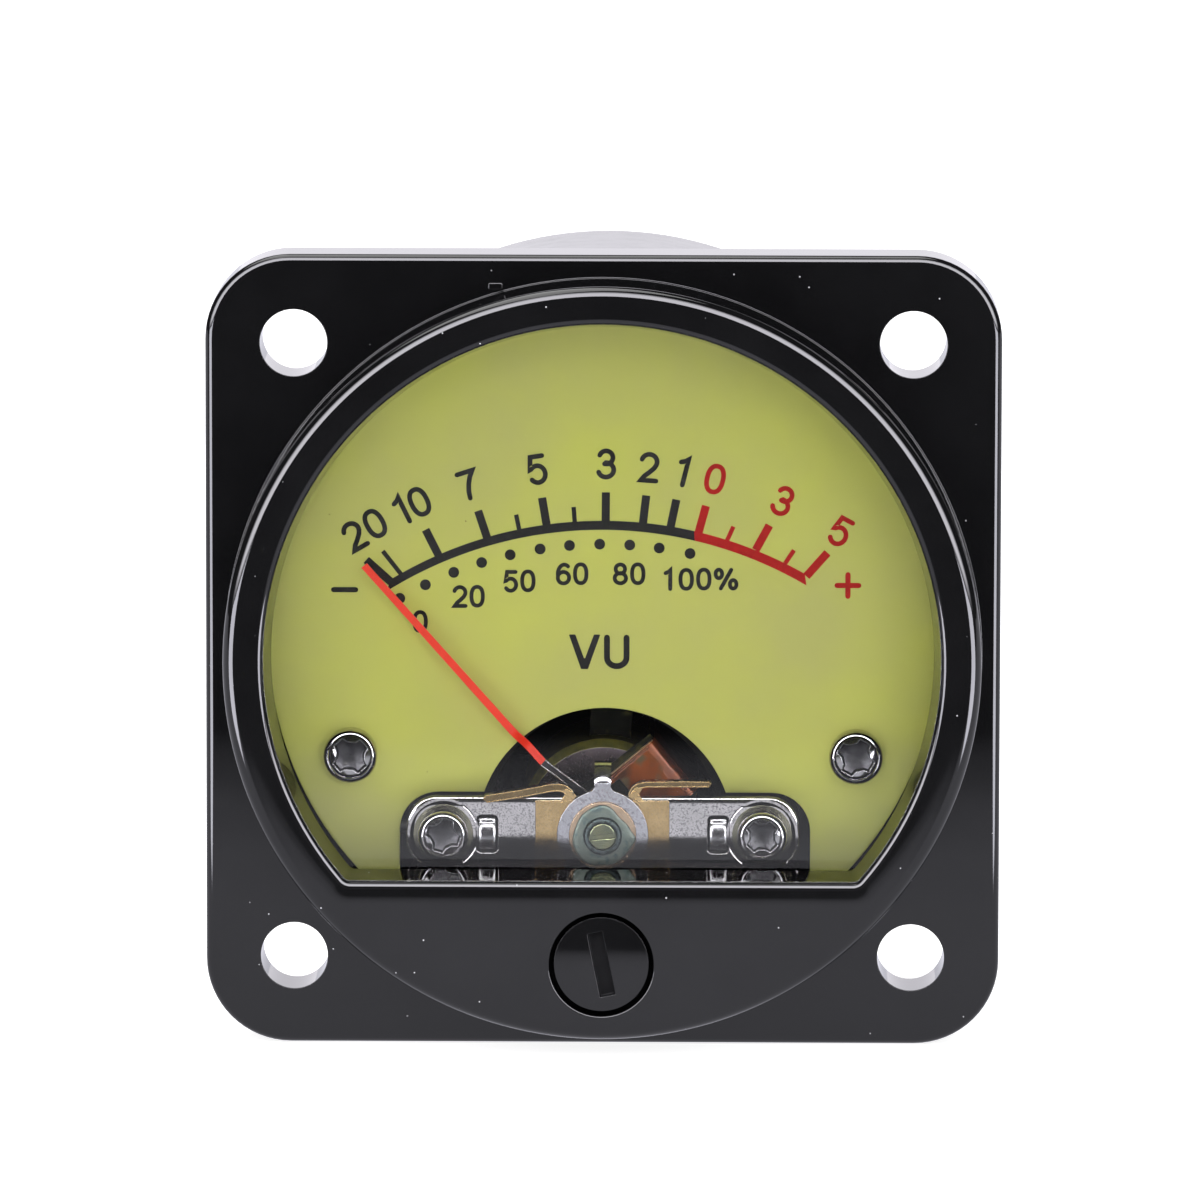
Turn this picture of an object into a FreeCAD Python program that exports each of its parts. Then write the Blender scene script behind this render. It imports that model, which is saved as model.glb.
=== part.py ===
import FreeCAD, Part

import math
import os

from FreeCAD import Vector

# Panel meter with a moving-coil movement. Millimetres; +X right, +Z up, the dial looks towards -Y.
# Origin: centre of the flange's rear face, which sits on the panel, on the axis of the round case.
# A turn about +Y is clockwise as seen from the front.

# flange and bezel
flange_size = 45.0
flange_thickness = 4.2
flange_corner_radius = 4.8
flange_edge_radius = 0.4
hole_pitch = 35.0
hole_radius = 1.9
bezel_base_radius = 21.42
bezel_top_radius = 21.3
bezel_height = 4.8
bezel_edge_radius = 0.6
window_front_radius = 19.05
window_rear_radius = 18.7
window_edge_radius = 0.35
window_floor_z = -12.5          # straight lower side of the window, at the front
window_floor_rear_z = -12.2     # and at the lens, because the moulding has draft
window_floor_thickness = 1.0
bezel_skin = 2.0                # front wall of the lower segment
chamber_radius = 19.2           # round bore that holds the lens and the dial
spigot_radius = 19.9            # plugs into the mouth of the rear case
spigot_length = 3.0
seat_radius = 20.7             # shallow step in the flange's rear that takes the case's mouth
seat_depth = 0.5
seat_lead_radius = 21.1        # wider lead-in of that step, clear of the case wall
seat_lead_depth = 0.15

flange_front = -flange_thickness
bezel_front = flange_front - bezel_height

# lens
lens_depth_below_bezel = 2.8
lens_thickness = 1.5
lens_radius = 19.15
lens_cut_z = -13.3              # the disc is cut straight below this
lens_front = bezel_front + lens_depth_below_bezel
lens_back = lens_front + lens_thickness

# rear case
case_radius = 21.0
case_mouth_radius = 20.6        # the part of the mouth that enters the flange's seat
case_wall = 1.0
case_length = 25.8
case_back_thickness = 1.2
case_screw_x = 9.5
case_screw_z = -15.0
case_screw_radius = 1.0
case_screw_clearance = 0.15
case_screw_head_radius = 1.9
case_screw_head_height = 1.1
case_screw_reach = 26.6
case_boss_radius = 1.6
case_rim_radius = 0.8
case_inner_back = case_length - case_back_thickness

# dial
dial_front = -1.7
dial_thickness = 0.5
dial_radius = 19.0
dial_back = dial_front + dial_thickness
cutout_x = 0.1
cutout_z = -10.9
cutout_radius = 7.3
slot_half_width = 11.68
slot_top_z = -8.45
slot_corner_radius = 2.2
dial_screw_x = 14.37
dial_screw_z = -6.3
dial_screw_head_radius = 1.54
dial_screw_head_height = 0.9
dial_screw_tip = 4.0
dial_screw_turn = 20.0
dial_post_radius = 2.0
dial_hole_radius = 0.9
dial_post_bore_end = 5.0

# movement axis and its stack, front to back
pivot_z = -10.6
bridge_front = -3.5
bridge_thickness = 0.9
bridge_back = bridge_front + bridge_thickness
bridge_half_length = 11.13
bridge_half_height = 2.1
bridge_end_radius = 1.7
bridge_screw_x = 9.05
bridge_screw_head_radius = 1.43
bridge_screw_head_height = 0.85
bridge_screw_tip = 5.0
bridge_screw_turns = (5.0, 45.0)    # left and right
rear_bridge_screw_reach = 8.6
emboss_x = 6.55                 # short slots pressed into the bridge beside its screws
emboss_half_width = 0.5
emboss_depth = 0.3
emboss_low = pivot_z - 0.75
emboss_high = pivot_z + 0.95
bridge_boss_radius = 1.2
bridge_boss_front = -3.95
contact_plate_thickness = 0.15
contact_plate_box = (-3.86, 3.75, -13.0, -8.55)
contact_arm_half_thickness = 0.1
left_arm = [(-1.9, -8.75), (-2.2, -8.25), (-2.85, -8.0), (-6.65, -8.7)]
right_arm = [(1.6, -8.75), (1.75, -8.2), (2.3, -7.75), (6.1, -7.8)]
lever_front = -3.92
lever_thickness = 0.24
lever_ring_radius = 2.52
lever_bore_radius = 1.25
lever_tab_half_width = 0.5
lever_tab_top = -6.9
lever_fork_half_width = 2.15
washer_radius = 1.95
washer_front = -4.1
nut_radius = 1.3
nut_front = -4.4
jewel_screw_radius = 0.86
jewel_screw_front = -4.5
jewel_radius = 0.5
driver_slot_half_width = 0.12
driver_slot_depth = 0.3
jewel_length = 0.4
jewel_cup_depth = 0.3
jewel_cup_radius = 0.35
rear_jewel_screw_stand = 0.9
front_jewel_back = -2.62
rear_jewel_front = 12.75
pivot_radius = 0.3
pivot_point_length = 0.3
pivot_point_radius = 0.02
pivot_tip_gap = 0.05
screw_shank_radius = 0.8
screw_clearance_radius = 0.85

yoke_front = 1.5
yoke_length = 7.6
yoke_back = yoke_front + yoke_length
yoke_inner_radius = 6.55
yoke_outer_radius = 8.6
yoke_ear_radius = 2.2
pillar_radius = 1.7
core_radius = 4.8
core_front = 0.8
core_length = 9.0
core_back = core_front + core_length
core_chamfer = 0.5
core_rest_angle = 4.0           # the spacers stand where the coil never sweeps
spacer_half_width = 1.2
spacer_front = 3.0
spacer_back = 8.0
rear_bridge_front = 13.4
rear_bridge_thickness = 1.0
rear_bridge_back = rear_bridge_front + rear_bridge_thickness
anchor_thickness = 0.3
anchor_outer_radius = 2.4
anchor_inner_radius = 1.1
anchor_half_width = 0.5
anchor_foot_height = 0.24

# moving coil, drawn pointing up and then turned to its rest angle
coil_rest_angle = 52.0
coil_half_width = 2.4
bobbin_half_width = 2.5
bobbin_inner_radius = 5.1
bobbin_wall = 0.2
winding_wall = 0.5
coil_end_gap = 0.3
coil_face_front = core_front - coil_end_gap - bobbin_wall - winding_wall
coil_face_back = core_back + coil_end_gap + bobbin_wall + winding_wall
hub_plate_half_width = 1.6
hub_plate_half_length = 2.4
hub_plate_thickness = 0.3
hub_boss_radius = 1.1
hub_arm_half_width = 0.45
pointer_thickness = 0.15
pointer_rear = -1.75
pointer_lift = 1.0              # the blade steps forward over the dial
pointer_half_width = 0.17
pointer_root = (-0.45, -8.9)
pointer_knee = (-3.29, -6.67)
pointer_tip = (-13.44, 4.68)
pointer_tip_half_width = 0.13
pointer_step_from = 1.2         # the forward step, measured along the blade from its knee
pointer_step_to = 2.6
tail_angles = (117.0, 161.0)
tail_start = 1.1
tail_length = 4.3
tail_half_width = 0.12
tail_thickness = 0.2
tail_middle = pointer_rear + 0.15
weight_start = 2.6
weight_radius = 0.42
weight_length = 1.4
spring_turns = 4
spring_inner_radius = 0.62
spring_outer_radius = 2.35
spring_strip = 0.07
spring_width = 0.3
front_spring_y = -2.5
rear_spring_y = 11.8
spring_stud_radius = 3.35       # where each spring's outer end is held
spring_steps_per_turn = 12
spring_grip = 0.08
spring_wall = 0.02              # collar that stands past each spring
anchor_top = pivot_z + spring_stud_radius + 0.35

# zero adjuster
adjuster_z = -17.2
adjuster_head_radius = 2.65
adjuster_head_front = -8.8
adjuster_seat = -7.75
adjuster_recess_radius = 2.95
adjuster_shaft_radius = 1.45
adjuster_bore_radius = 1.5
adjuster_neck_radius = 1.15
adjuster_clip_radius = 1.95
adjuster_boss_radius = 3.5
adjuster_boss_back = -5.8
adjuster_shaft_back = -5.3
adjuster_slot_angle = -11.6
adjuster_slot_half_width = 0.45
adjuster_slot_half_length = 1.85
adjuster_slot_depth = 0.7
adjuster_play = 0.05
adjuster_groove_width = 0.3
clip_thickness = 0.2
clip_gap_half_width = 0.7
eccentric_offset = 1.0
eccentric_radius = 0.5
fork_half_gap = 0.56
fork_low = adjuster_z + 0.25
fork_slot_top = adjuster_z + eccentric_offset + 0.75

# chassis, board and terminals
chassis_front = yoke_back
chassis_thickness = 2.0
chassis_back = chassis_front + chassis_thickness
chassis_radius = 18.8
chassis_clearance = 0.3          # round the coil's opening and the case bosses
board_front = 17.4
board_thickness = 1.6
board_back = board_front + board_thickness
board_box = (-14.0, 14.0, -3.5, 12.5)
board_corner_radius = 1.5
diode_count = 4
diode_first_z = -2.0
diode_pitch = 3.1
diode_radius = 0.85
diode_length = 3.8
diode_span = 8.0
diode_lift = 0.95
resistor_x = 11.6
resistor_z = 1.0
resistor_radius = 1.1
resistor_length = 3.4
resistor_span = 5.2
resistor_lift = 1.15
wire_radius = 0.25
stud_x = 8.0
stud_z = 6.0
stud_radius = 1.5
stud_end = 33.0
stud_head_radius = 2.6
stud_head_height = 1.2
stud_clearance = 0.1
spacer_tube_radius = 2.4
terminal_washer_radius = 3.2
washer_thickness = 0.5
nut_across_flats = 5.5
nut_height = 2.4
lug_thickness = 0.5
lug_ring_radius = 3.0
lug_half_width = 1.1
lug_reach = 9.0
lug_hole_height = 7.6
lug_hole_radius = 0.6
lug_start = case_length + washer_thickness + nut_height
outer_nut_start = lug_start + lug_thickness
lead_radius = 0.35
front_lead_x = -13.4            # column in which the front spring's lead passes the chassis
front_lead_hole_radius = 1.2
front_lead_end = (-12.4, -2.2)
rear_lead_end = (-6.0, -2.6)

y_axis = Vector(0, 1, 0)
x_axis = Vector(1, 0, 0)
z_axis = Vector(0, 0, 1)
sides = (-1, 1)
over = 1.0                      # how far a cutting shape runs past what it cuts
far = 30.0                      # beyond the part on every side
edge_tolerance = 0.01
recess_arm_share = 0.62         # cross recess, as shares of the screw head's radius
recess_half_width_share = 0.26


# shape helpers
def rod(radius, start, end, x=0.0, z=0.0):
    return Part.makeCylinder(radius, end - start, Vector(x, start, z), y_axis)


def tube(outer, inner, start, end, x=0.0, z=0.0):
    return rod(outer, start, end, x, z).cut(rod(inner, start - over, end + over, x, z))


def cone(front_radius, back_radius, start, end, x=0.0, z=0.0):
    return Part.makeCone(front_radius, back_radius, end - start, Vector(x, start, z), y_axis)


def block(x_low, x_high, start, end, z_low, z_high):
    size = (x_high - x_low, end - start, z_high - z_low)
    return Part.makeBox(*size, Vector(x_low, start, z_low))


def turned(shape, angle, x=0.0, z=pivot_z):
    result = shape.copy()
    result.rotate(Vector(x, 0, z), y_axis, angle)
    return result


def fused(shapes):
    result = shapes[0]
    for other in shapes[1:]:
        result = result.fuse(other)
    return result.removeSplitter()


def rounded_block(x_low, x_high, start, end, z_low, z_high, radius):
    solid = block(x_low, x_high, start, end, z_low, z_high)
    upright = [e for e in solid.Edges if abs(e.tangentAt(e.FirstParameter).y) > 0.9]
    return solid.makeFillet(radius, upright)


def revolved(profile):
    """A closed (radius, y) outline turned about the case axis."""
    corners = [Vector(radius, y, 0) for radius, y in profile]
    face = Part.Face(Part.makePolygon(corners + corners[:1]))
    return face.revolve(Vector(0, 0, 0), y_axis, 360)


def prism(points, start, end):
    """A closed (x, z) outline given depth along Y."""
    corners = [Vector(x, start, z) for x, z in points]
    return Part.Face(Part.makePolygon(corners + corners[:1])).extrude(Vector(0, end - start, 0))


def slab_above(floor, top):
    """Everything above an open (y, z) line that runs from front to back, out to far on both sides."""
    outline = floor + [(floor[-1][0], top), (floor[0][0], top)]
    corners = [Vector(-far, y, z) for y, z in outline]
    return Part.Face(Part.makePolygon(corners + corners[:1])).extrude(Vector(2 * far, 0, 0))


def hexagon(across_flats, start, end, x, z):
    reach = across_flats / math.sqrt(3)
    angles = [math.radians(60 * i + 30) for i in range(6)]
    return prism([(x + reach * math.cos(a), z + reach * math.sin(a)) for a in angles], start, end)


def strip(points, half_width, start, end):
    """A flat strip along an open (x, z) line, with depth along Y."""
    parts = []
    for (xa, za), (xb, zb) in zip(points, points[1:]):
        length = math.hypot(xb - xa, zb - za)
        angle = math.degrees(math.atan2(xb - xa, zb - za))
        bar = block(xa - half_width, xa + half_width, start, end, za, za + length)
        parts.append(turned(bar, angle, xa, za))
    parts += [rod(half_width, start, end, x, z) for x, z in points[1:-1]]
    return fused(parts)


def cross_recess(radius, start, depth, x, z, angle):
    arm = radius * recess_arm_share
    half = radius * recess_half_width_share
    bars = [block(x - arm, x + arm, start - over, start + depth, z - half, z + half),
            block(x - half, x + half, start - over, start + depth, z - arm, z + arm)]
    return turned(fused(bars), angle, x, z)


def cross_screw(x, z, seat, head_radius, head_height, shank_radius, tip, angle=0.0):
    """A pan-head screw driven from the front: its head stands in front of seat."""
    front = seat - head_height
    head = rod(head_radius, front, seat, x, z)
    rim = [e for e in head.Edges if e.BoundBox.YMax < front + edge_tolerance and e.Closed]
    head = head.makeFillet(head_height * 0.4, rim)
    screw = fused([head, rod(shank_radius, seat - 0.1, tip, x, z)])
    return screw.cut(cross_recess(head_radius, front, head_height * 0.6, x, z, angle))


def flipped(shape, y):
    """The shape mirrored in the plane at y, so a front screw becomes a rear one."""
    return shape.mirror(Vector(0, y, 0), y_axis)


def lead(points, radius):
    """A wire of straight runs joined by tangent arcs."""
    corners = [Vector(*p) for p in points]
    edges = []
    start = corners[0]
    for before, corner, after in zip(corners, corners[1:], corners[2:]):
        inward = (before - corner).normalize()
        outward = (after - corner).normalize()
        turn = math.pi - inward.getAngle(outward)
        cut = 0.45 * min((before - corner).Length, (after - corner).Length)
        bend = cut / math.tan(turn / 2)
        first = corner + inward * cut
        last = corner + outward * cut
        bisector = (inward + outward).normalize()
        middle = corner + bisector * (bend / math.cos(turn / 2) - bend)
        edges += [Part.LineSegment(start, first).toShape(), Part.Arc(first, middle, last).toShape()]
        start = last
    edges.append(Part.LineSegment(start, corners[-1]).toShape())
    path = Part.Wire(edges)
    section = Part.Wire(Part.makeCircle(radius, corners[0], corners[1] - corners[0]))
    return path.makePipeShell([section], True, False)


# case
def mounting_holes(radius, start, end):
    half = hole_pitch / 2
    return [rod(radius, start, end, sx * half, sz * half) for sx in sides for sz in sides]


def flange():
    half = flange_size / 2
    body = rounded_block(-half, half, flange_front, 0, -half, half, flange_corner_radius)
    front_rim = [e for e in body.Edges if e.BoundBox.YMax < flange_front + edge_tolerance]
    body = body.makeFillet(flange_edge_radius, front_rim)
    for hole in mounting_holes(hole_radius, flange_front - over, over):
        body = body.cut(hole)
    return body


def bezel_ring():
    edge = bezel_edge_radius
    arc = [(bezel_top_radius - edge + edge * math.cos(a), bezel_front + edge - edge * math.sin(a))
           for a in [math.radians(step * 15) for step in range(7)]]
    return revolved([(0, flange_front), (bezel_base_radius, flange_front)] + arc + [(0, bezel_front)])


def window_cut():
    edge = window_edge_radius
    flare = [(window_front_radius + edge - edge * math.cos(a), bezel_front + edge - edge * math.sin(a))
             for a in [math.radians(step * 22.5) for step in range(5)]]
    outer_side = [(window_rear_radius, lens_front)] + flare
    opening = revolved([(0, lens_front)] + outer_side + [(0, bezel_front)])
    floor = [(bezel_front - over, window_floor_z), (bezel_front, window_floor_z),
             (lens_front, window_floor_rear_z), (lens_front + over, window_floor_rear_z)]
    return opening.common(slab_above(floor, far))


def adjuster_boss():
    return rod(adjuster_boss_radius, bezel_front + over, adjuster_boss_back, 0, adjuster_z)


def front_bezel():
    pocket_front = bezel_front + bezel_skin
    pocket_top = window_floor_z - window_floor_thickness
    rooted = pocket_front - bezel_skin / 4
    body = fused([flange(), bezel_ring(), rod(spigot_radius, -over, spigot_length)])
    body = body.cut(tube(seat_radius, spigot_radius, -seat_depth, over))
    body = body.cut(tube(seat_lead_radius, spigot_radius, -seat_lead_depth, over))
    body = body.cut(window_cut())
    body = body.cut(rod(chamber_radius, lens_front, spigot_length + over))
    pocket = rod(window_rear_radius, pocket_front, lens_front + over / 2)
    pocket = pocket.common(block(-far, far, bezel_front, 0, -far, pocket_top))
    body = body.cut(pocket)
    bosses = [rod(case_boss_radius, rooted, spigot_length, s * case_screw_x, case_screw_z) for s in sides]
    body = fused([body, adjuster_boss()] + bosses)
    for s in sides:
        body = body.cut(rod(case_screw_radius, pocket_front + over, spigot_length + over,
                            s * case_screw_x, case_screw_z))
    body = body.cut(rod(adjuster_recess_radius, bezel_front - over, adjuster_seat, 0, adjuster_z))
    return body.cut(rod(adjuster_bore_radius, bezel_front, 0, 0, adjuster_z))


def window_lens():
    disc = rod(lens_radius, lens_front, lens_back)
    return disc.common(block(-far, far, lens_front, lens_back, lens_cut_z, far))


def rear_case():
    shell = fused([rod(case_radius, 0, case_length), rod(case_mouth_radius, -seat_depth, over)])
    rim = [e for e in shell.Edges if e.BoundBox.YMin > case_length - edge_tolerance and e.Closed]
    shell = shell.makeFillet(case_rim_radius, rim)
    body = shell.cut(rod(case_radius - case_wall, -over, case_inner_back))
    tubes = [rod(case_boss_radius, spigot_length, case_inner_back + case_wall / 2,
                 s * case_screw_x, case_screw_z) for s in sides]
    body = fused([body] + tubes)
    screw_hole = case_screw_radius + case_screw_clearance
    for s in sides:
        body = body.cut(rod(screw_hole, -over, case_length + over, s * case_screw_x, case_screw_z))
        body = body.cut(rod(stud_radius + stud_clearance, case_inner_back - over, case_length + over,
                            s * stud_x, stud_z))
    return body


def case_screws():
    screws = []
    for s in sides:
        forward = cross_screw(s * case_screw_x, case_screw_z, 0, case_screw_head_radius,
                              case_screw_head_height, case_screw_radius, case_screw_reach)
        rear = flipped(forward, 0)
        rear.translate(Vector(0, case_length, 0))
        screws.append(rear)
    return Part.makeCompound(screws)


# zero adjuster
def zero_adjuster():
    groove_front = adjuster_boss_back + adjuster_play
    groove_back = groove_front + adjuster_groove_width
    head = rod(adjuster_head_radius, adjuster_head_front, adjuster_seat - adjuster_play, 0, adjuster_z)
    shaft = rod(adjuster_shaft_radius, adjuster_head_front, adjuster_shaft_back, 0, adjuster_z)
    neck = tube(adjuster_shaft_radius + over, adjuster_neck_radius, groove_front, groove_back, 0, adjuster_z)
    pin_back = lever_front + 2 * lever_thickness
    pin = rod(eccentric_radius, groove_back, pin_back, 0, adjuster_z + eccentric_offset)
    slot = block(-adjuster_slot_half_width, adjuster_slot_half_width, adjuster_head_front - over,
                 adjuster_head_front + adjuster_slot_depth,
                 adjuster_z - adjuster_slot_half_length, adjuster_z + adjuster_slot_half_length)
    body = fused([head, shaft.cut(neck), pin])
    return body.cut(turned(slot, adjuster_slot_angle, 0, adjuster_z))


def adjuster_clip():
    start = adjuster_boss_back + 2 * adjuster_play
    inner = adjuster_neck_radius + adjuster_play / 2
    ring = tube(adjuster_clip_radius, inner, start, start + clip_thickness, 0, adjuster_z)
    return ring.cut(block(-clip_gap_half_width, clip_gap_half_width, start - over, start + over,
                          adjuster_z - 2 * adjuster_clip_radius, adjuster_z - inner / 2))


def zero_lever():
    """Ring round the front bearing: a top tab holds the spring's end, a fork takes the eccentric."""
    start, end = lever_front, lever_front + lever_thickness
    tab_half = lever_tab_half_width
    tab_back = front_spring_y + spring_width
    ring = rod(lever_ring_radius, start, end, 0, pivot_z)
    upright = block(-tab_half, tab_half, start, end, pivot_z, lever_tab_top)
    bent = block(-tab_half, tab_half, start, tab_back, lever_tab_top - lever_thickness, lever_tab_top)
    lower = block(-lever_fork_half_width, lever_fork_half_width, start, end, fork_low,
                  pivot_z - lever_bore_radius)
    body = fused([ring, upright, bent, lower])
    body = body.cut(rod(lever_bore_radius, start - over, end + over, 0, pivot_z))
    return body.cut(block(-fork_half_gap, fork_half_gap, start - over, end + over, fork_low - over,
                          fork_slot_top))


# dial
def dial_plate():
    plate = rod(dial_radius, dial_front, dial_back)
    start, end = dial_front - over, dial_back + over
    plate = plate.common(block(-far, far, dial_front, dial_back, lens_cut_z, far))
    plate = plate.cut(rod(cutout_radius, start, end, cutout_x, cutout_z))
    plate = plate.cut(rounded_block(cutout_x - slot_half_width, cutout_x + slot_half_width, start, end,
                                    -far, slot_top_z, slot_corner_radius))
    for s in sides:
        plate = plate.cut(rod(dial_hole_radius, start, end, s * dial_screw_x, dial_screw_z))
    return plate


def dial_screws():
    return Part.makeCompound([cross_screw(s * dial_screw_x, dial_screw_z, dial_front, dial_screw_head_radius,
                                          dial_screw_head_height, screw_shank_radius, dial_screw_tip,
                                          dial_screw_turn * s) for s in sides])


# movement, fixed parts
def movement_frame():
    """Moulded chassis behind the yoke, with two posts that carry the dial."""
    start, end = chassis_front - over, chassis_back + over
    plate = rod(chassis_radius, chassis_front, chassis_back)
    plate = plate.cut(rod(yoke_inner_radius + chassis_clearance, start, end, 0, pivot_z))
    posts = [rod(dial_post_radius, dial_back, chassis_front + chassis_thickness / 4,
                 s * dial_screw_x, dial_screw_z) for s in sides]
    body = fused([plate] + posts)
    for s in sides:
        body = body.cut(rod(screw_shank_radius, dial_back - over, dial_post_bore_end,
                            s * dial_screw_x, dial_screw_z))
        body = body.cut(rod(screw_clearance_radius, start, end, s * bridge_screw_x, pivot_z))
        body = body.cut(rod(stud_radius, start, end, s * stud_x, stud_z))
        body = body.cut(rod(case_boss_radius + chassis_clearance, start, end,
                            s * case_screw_x, case_screw_z))
    return body.cut(rod(front_lead_hole_radius, start, end, front_lead_x, pivot_z))


def yoke_ring():
    ears = [rod(yoke_ear_radius, yoke_front, yoke_back, s * bridge_screw_x, pivot_z) for s in sides]
    body = fused([rod(yoke_outer_radius, yoke_front, yoke_back, 0, pivot_z)] + ears)
    body = body.cut(rod(yoke_inner_radius, yoke_front - over, yoke_back + over, 0, pivot_z))
    for s in sides:
        body = body.cut(rod(screw_shank_radius, yoke_front - over, yoke_back + over,
                            s * bridge_screw_x, pivot_z))
    return body


def core_magnet():
    chamfer_back = core_front + core_chamfer
    return fused([cone(core_radius - core_chamfer, core_radius, core_front, chamfer_back, 0, pivot_z),
                  rod(core_radius, chamfer_back, core_back, 0, pivot_z)])


def core_spacers():
    """Two non-magnetic blocks that hold the core centred in the yoke, clear of the coil's sweep."""
    gap = tube(yoke_inner_radius, core_radius, spacer_front, spacer_back, 0, pivot_z)
    blocks = []
    for angle in (core_rest_angle, core_rest_angle + 180):
        wedge = turned(block(-spacer_half_width, spacer_half_width, spacer_front - over, spacer_back + over,
                             pivot_z + core_radius / 2, pivot_z + yoke_outer_radius), angle)
        blocks.append(gap.common(wedge).Solids[0])
    return Part.makeCompound(blocks)


def bridge_bar(start, end):
    return rounded_block(-bridge_half_length, bridge_half_length, start, end, pivot_z - bridge_half_height,
                         pivot_z + bridge_half_height, bridge_end_radius)


def front_bridge():
    start, end = bridge_front - over, bridge_back + over
    boss = rod(bridge_boss_radius, bridge_boss_front, bridge_back, 0, pivot_z)
    body = fused([bridge_bar(bridge_front, bridge_back), boss])
    body = body.cut(rod(jewel_screw_radius, start, end, 0, pivot_z))
    for s in sides:
        x = s * emboss_x
        body = body.cut(rod(screw_clearance_radius, start, end, s * bridge_screw_x, pivot_z))
        body = body.cut(block(x - emboss_half_width, x + emboss_half_width, start,
                              bridge_front + emboss_depth, emboss_low, emboss_high))
    return body


def rear_bridge():
    start, end = rear_bridge_front - over, rear_bridge_back + over
    body = bridge_bar(rear_bridge_front, rear_bridge_back)
    body = body.cut(rod(jewel_screw_radius, start, end, 0, pivot_z))
    for s in sides:
        body = body.cut(rod(screw_clearance_radius, start, end, s * bridge_screw_x, pivot_z))
    return body


def pillars(start, end):
    return Part.makeCompound([tube(pillar_radius, screw_clearance_radius, start, end,
                                   s * bridge_screw_x, pivot_z) for s in sides])


def bridge_screws():
    return Part.makeCompound([cross_screw(s * bridge_screw_x, pivot_z, bridge_front,
                                          bridge_screw_head_radius, bridge_screw_head_height,
                                          screw_shank_radius, bridge_screw_tip, turn)
                              for s, turn in zip(sides, bridge_screw_turns)])


def rear_bridge_screws():
    screws = []
    for s in sides:
        forward = cross_screw(s * bridge_screw_x, pivot_z, 0, bridge_screw_head_radius,
                              bridge_screw_head_height, screw_shank_radius, rear_bridge_screw_reach)
        rear = flipped(forward, 0)
        rear.translate(Vector(0, rear_bridge_back, 0))
        screws.append(rear)
    return Part.makeCompound(screws)


def contact_plate():
    """Brass plate on the bridge with two sprung arms folded over its top edge."""
    start, end = bridge_front - contact_plate_thickness, bridge_front
    x_low, x_high, z_low, z_high = contact_plate_box
    flat = block(x_low, x_high, start, end, z_low, z_high)
    flat = flat.cut(rod(lever_bore_radius, start - over, end + over, 0, pivot_z))
    arms = [strip(line, contact_arm_half_thickness, start, bridge_back) for line in (left_arm, right_arm)]
    bridge_space = block(-far, far, end, bridge_back + over, -far, pivot_z + bridge_half_height)
    return fused([flat] + [arm.cut(bridge_space) for arm in arms])


def friction_washer():
    return tube(washer_radius, jewel_screw_radius, washer_front, bridge_boss_front, 0, pivot_z)


def lock_nut(start, end):
    return tube(nut_radius, jewel_screw_radius, start, end, 0, pivot_z)


def driver_slot(start, end):
    half = driver_slot_half_width
    return block(-nut_radius, nut_radius, start, end, pivot_z - half, pivot_z + half)


def front_jewel_screw():
    body = rod(jewel_screw_radius, jewel_screw_front, front_jewel_back, 0, pivot_z)
    body = body.cut(rod(jewel_radius, front_jewel_back - jewel_length, 0, 0, pivot_z))
    return body.cut(driver_slot(jewel_screw_front - over, jewel_screw_front + driver_slot_depth))


def rear_jewel_screw():
    back = rear_bridge_back + rear_jewel_screw_stand
    body = rod(jewel_screw_radius, rear_jewel_front, back, 0, pivot_z)
    body = body.cut(rod(jewel_radius, 0, rear_jewel_front + jewel_length, 0, pivot_z))
    return body.cut(driver_slot(back - driver_slot_depth, back + over))


def front_jewel():
    stone = rod(jewel_radius, front_jewel_back - jewel_length, front_jewel_back, 0, pivot_z)
    return stone.cut(cone(pivot_point_radius, jewel_cup_radius, front_jewel_back - jewel_cup_depth,
                          front_jewel_back, 0, pivot_z))


def rear_jewel():
    stone = rod(jewel_radius, rear_jewel_front, rear_jewel_front + jewel_length, 0, pivot_z)
    return stone.cut(cone(jewel_cup_radius, pivot_point_radius, rear_jewel_front,
                          rear_jewel_front + jewel_cup_depth, 0, pivot_z))


def rear_spring_anchor():
    """Arm on the rear bridge that holds the rear spring's outer end."""
    start = rear_bridge_front - anchor_thickness
    half = anchor_half_width
    ring = tube(anchor_outer_radius, anchor_inner_radius, start, rear_bridge_front, 0, pivot_z)
    arm = block(-half, half, start, rear_bridge_front, pivot_z + spring_outer_radius - over / 2, anchor_top)
    foot = block(-half, half, rear_spring_y, rear_bridge_front, anchor_top - anchor_foot_height, anchor_top)
    return fused([ring, arm, foot])


# movement, moving parts
def coil_frame(half_width, inner_radius, wall, gap):
    """A rectangular hoop round the core: two legs in the air gap and two end bars."""
    outer = inner_radius + wall
    front, back = core_front - gap, core_back + gap
    solid = block(-half_width, half_width, front - wall, back + wall, pivot_z - outer, pivot_z + outer)
    hollow = block(-half_width - over, half_width + over, front, back,
                   pivot_z - inner_radius, pivot_z + inner_radius)
    return turned(solid.cut(hollow), coil_rest_angle)


def coil_bobbin():
    return coil_frame(bobbin_half_width, bobbin_inner_radius, bobbin_wall, coil_end_gap)


def coil_winding():
    return coil_frame(coil_half_width, bobbin_inner_radius + bobbin_wall, winding_wall,
                      coil_end_gap + bobbin_wall)


def hub_plate(start, end):
    plate = block(-hub_plate_half_width, hub_plate_half_width, start, end,
                  pivot_z - hub_plate_half_length, pivot_z + hub_plate_half_length)
    return turned(plate, coil_rest_angle)


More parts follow.
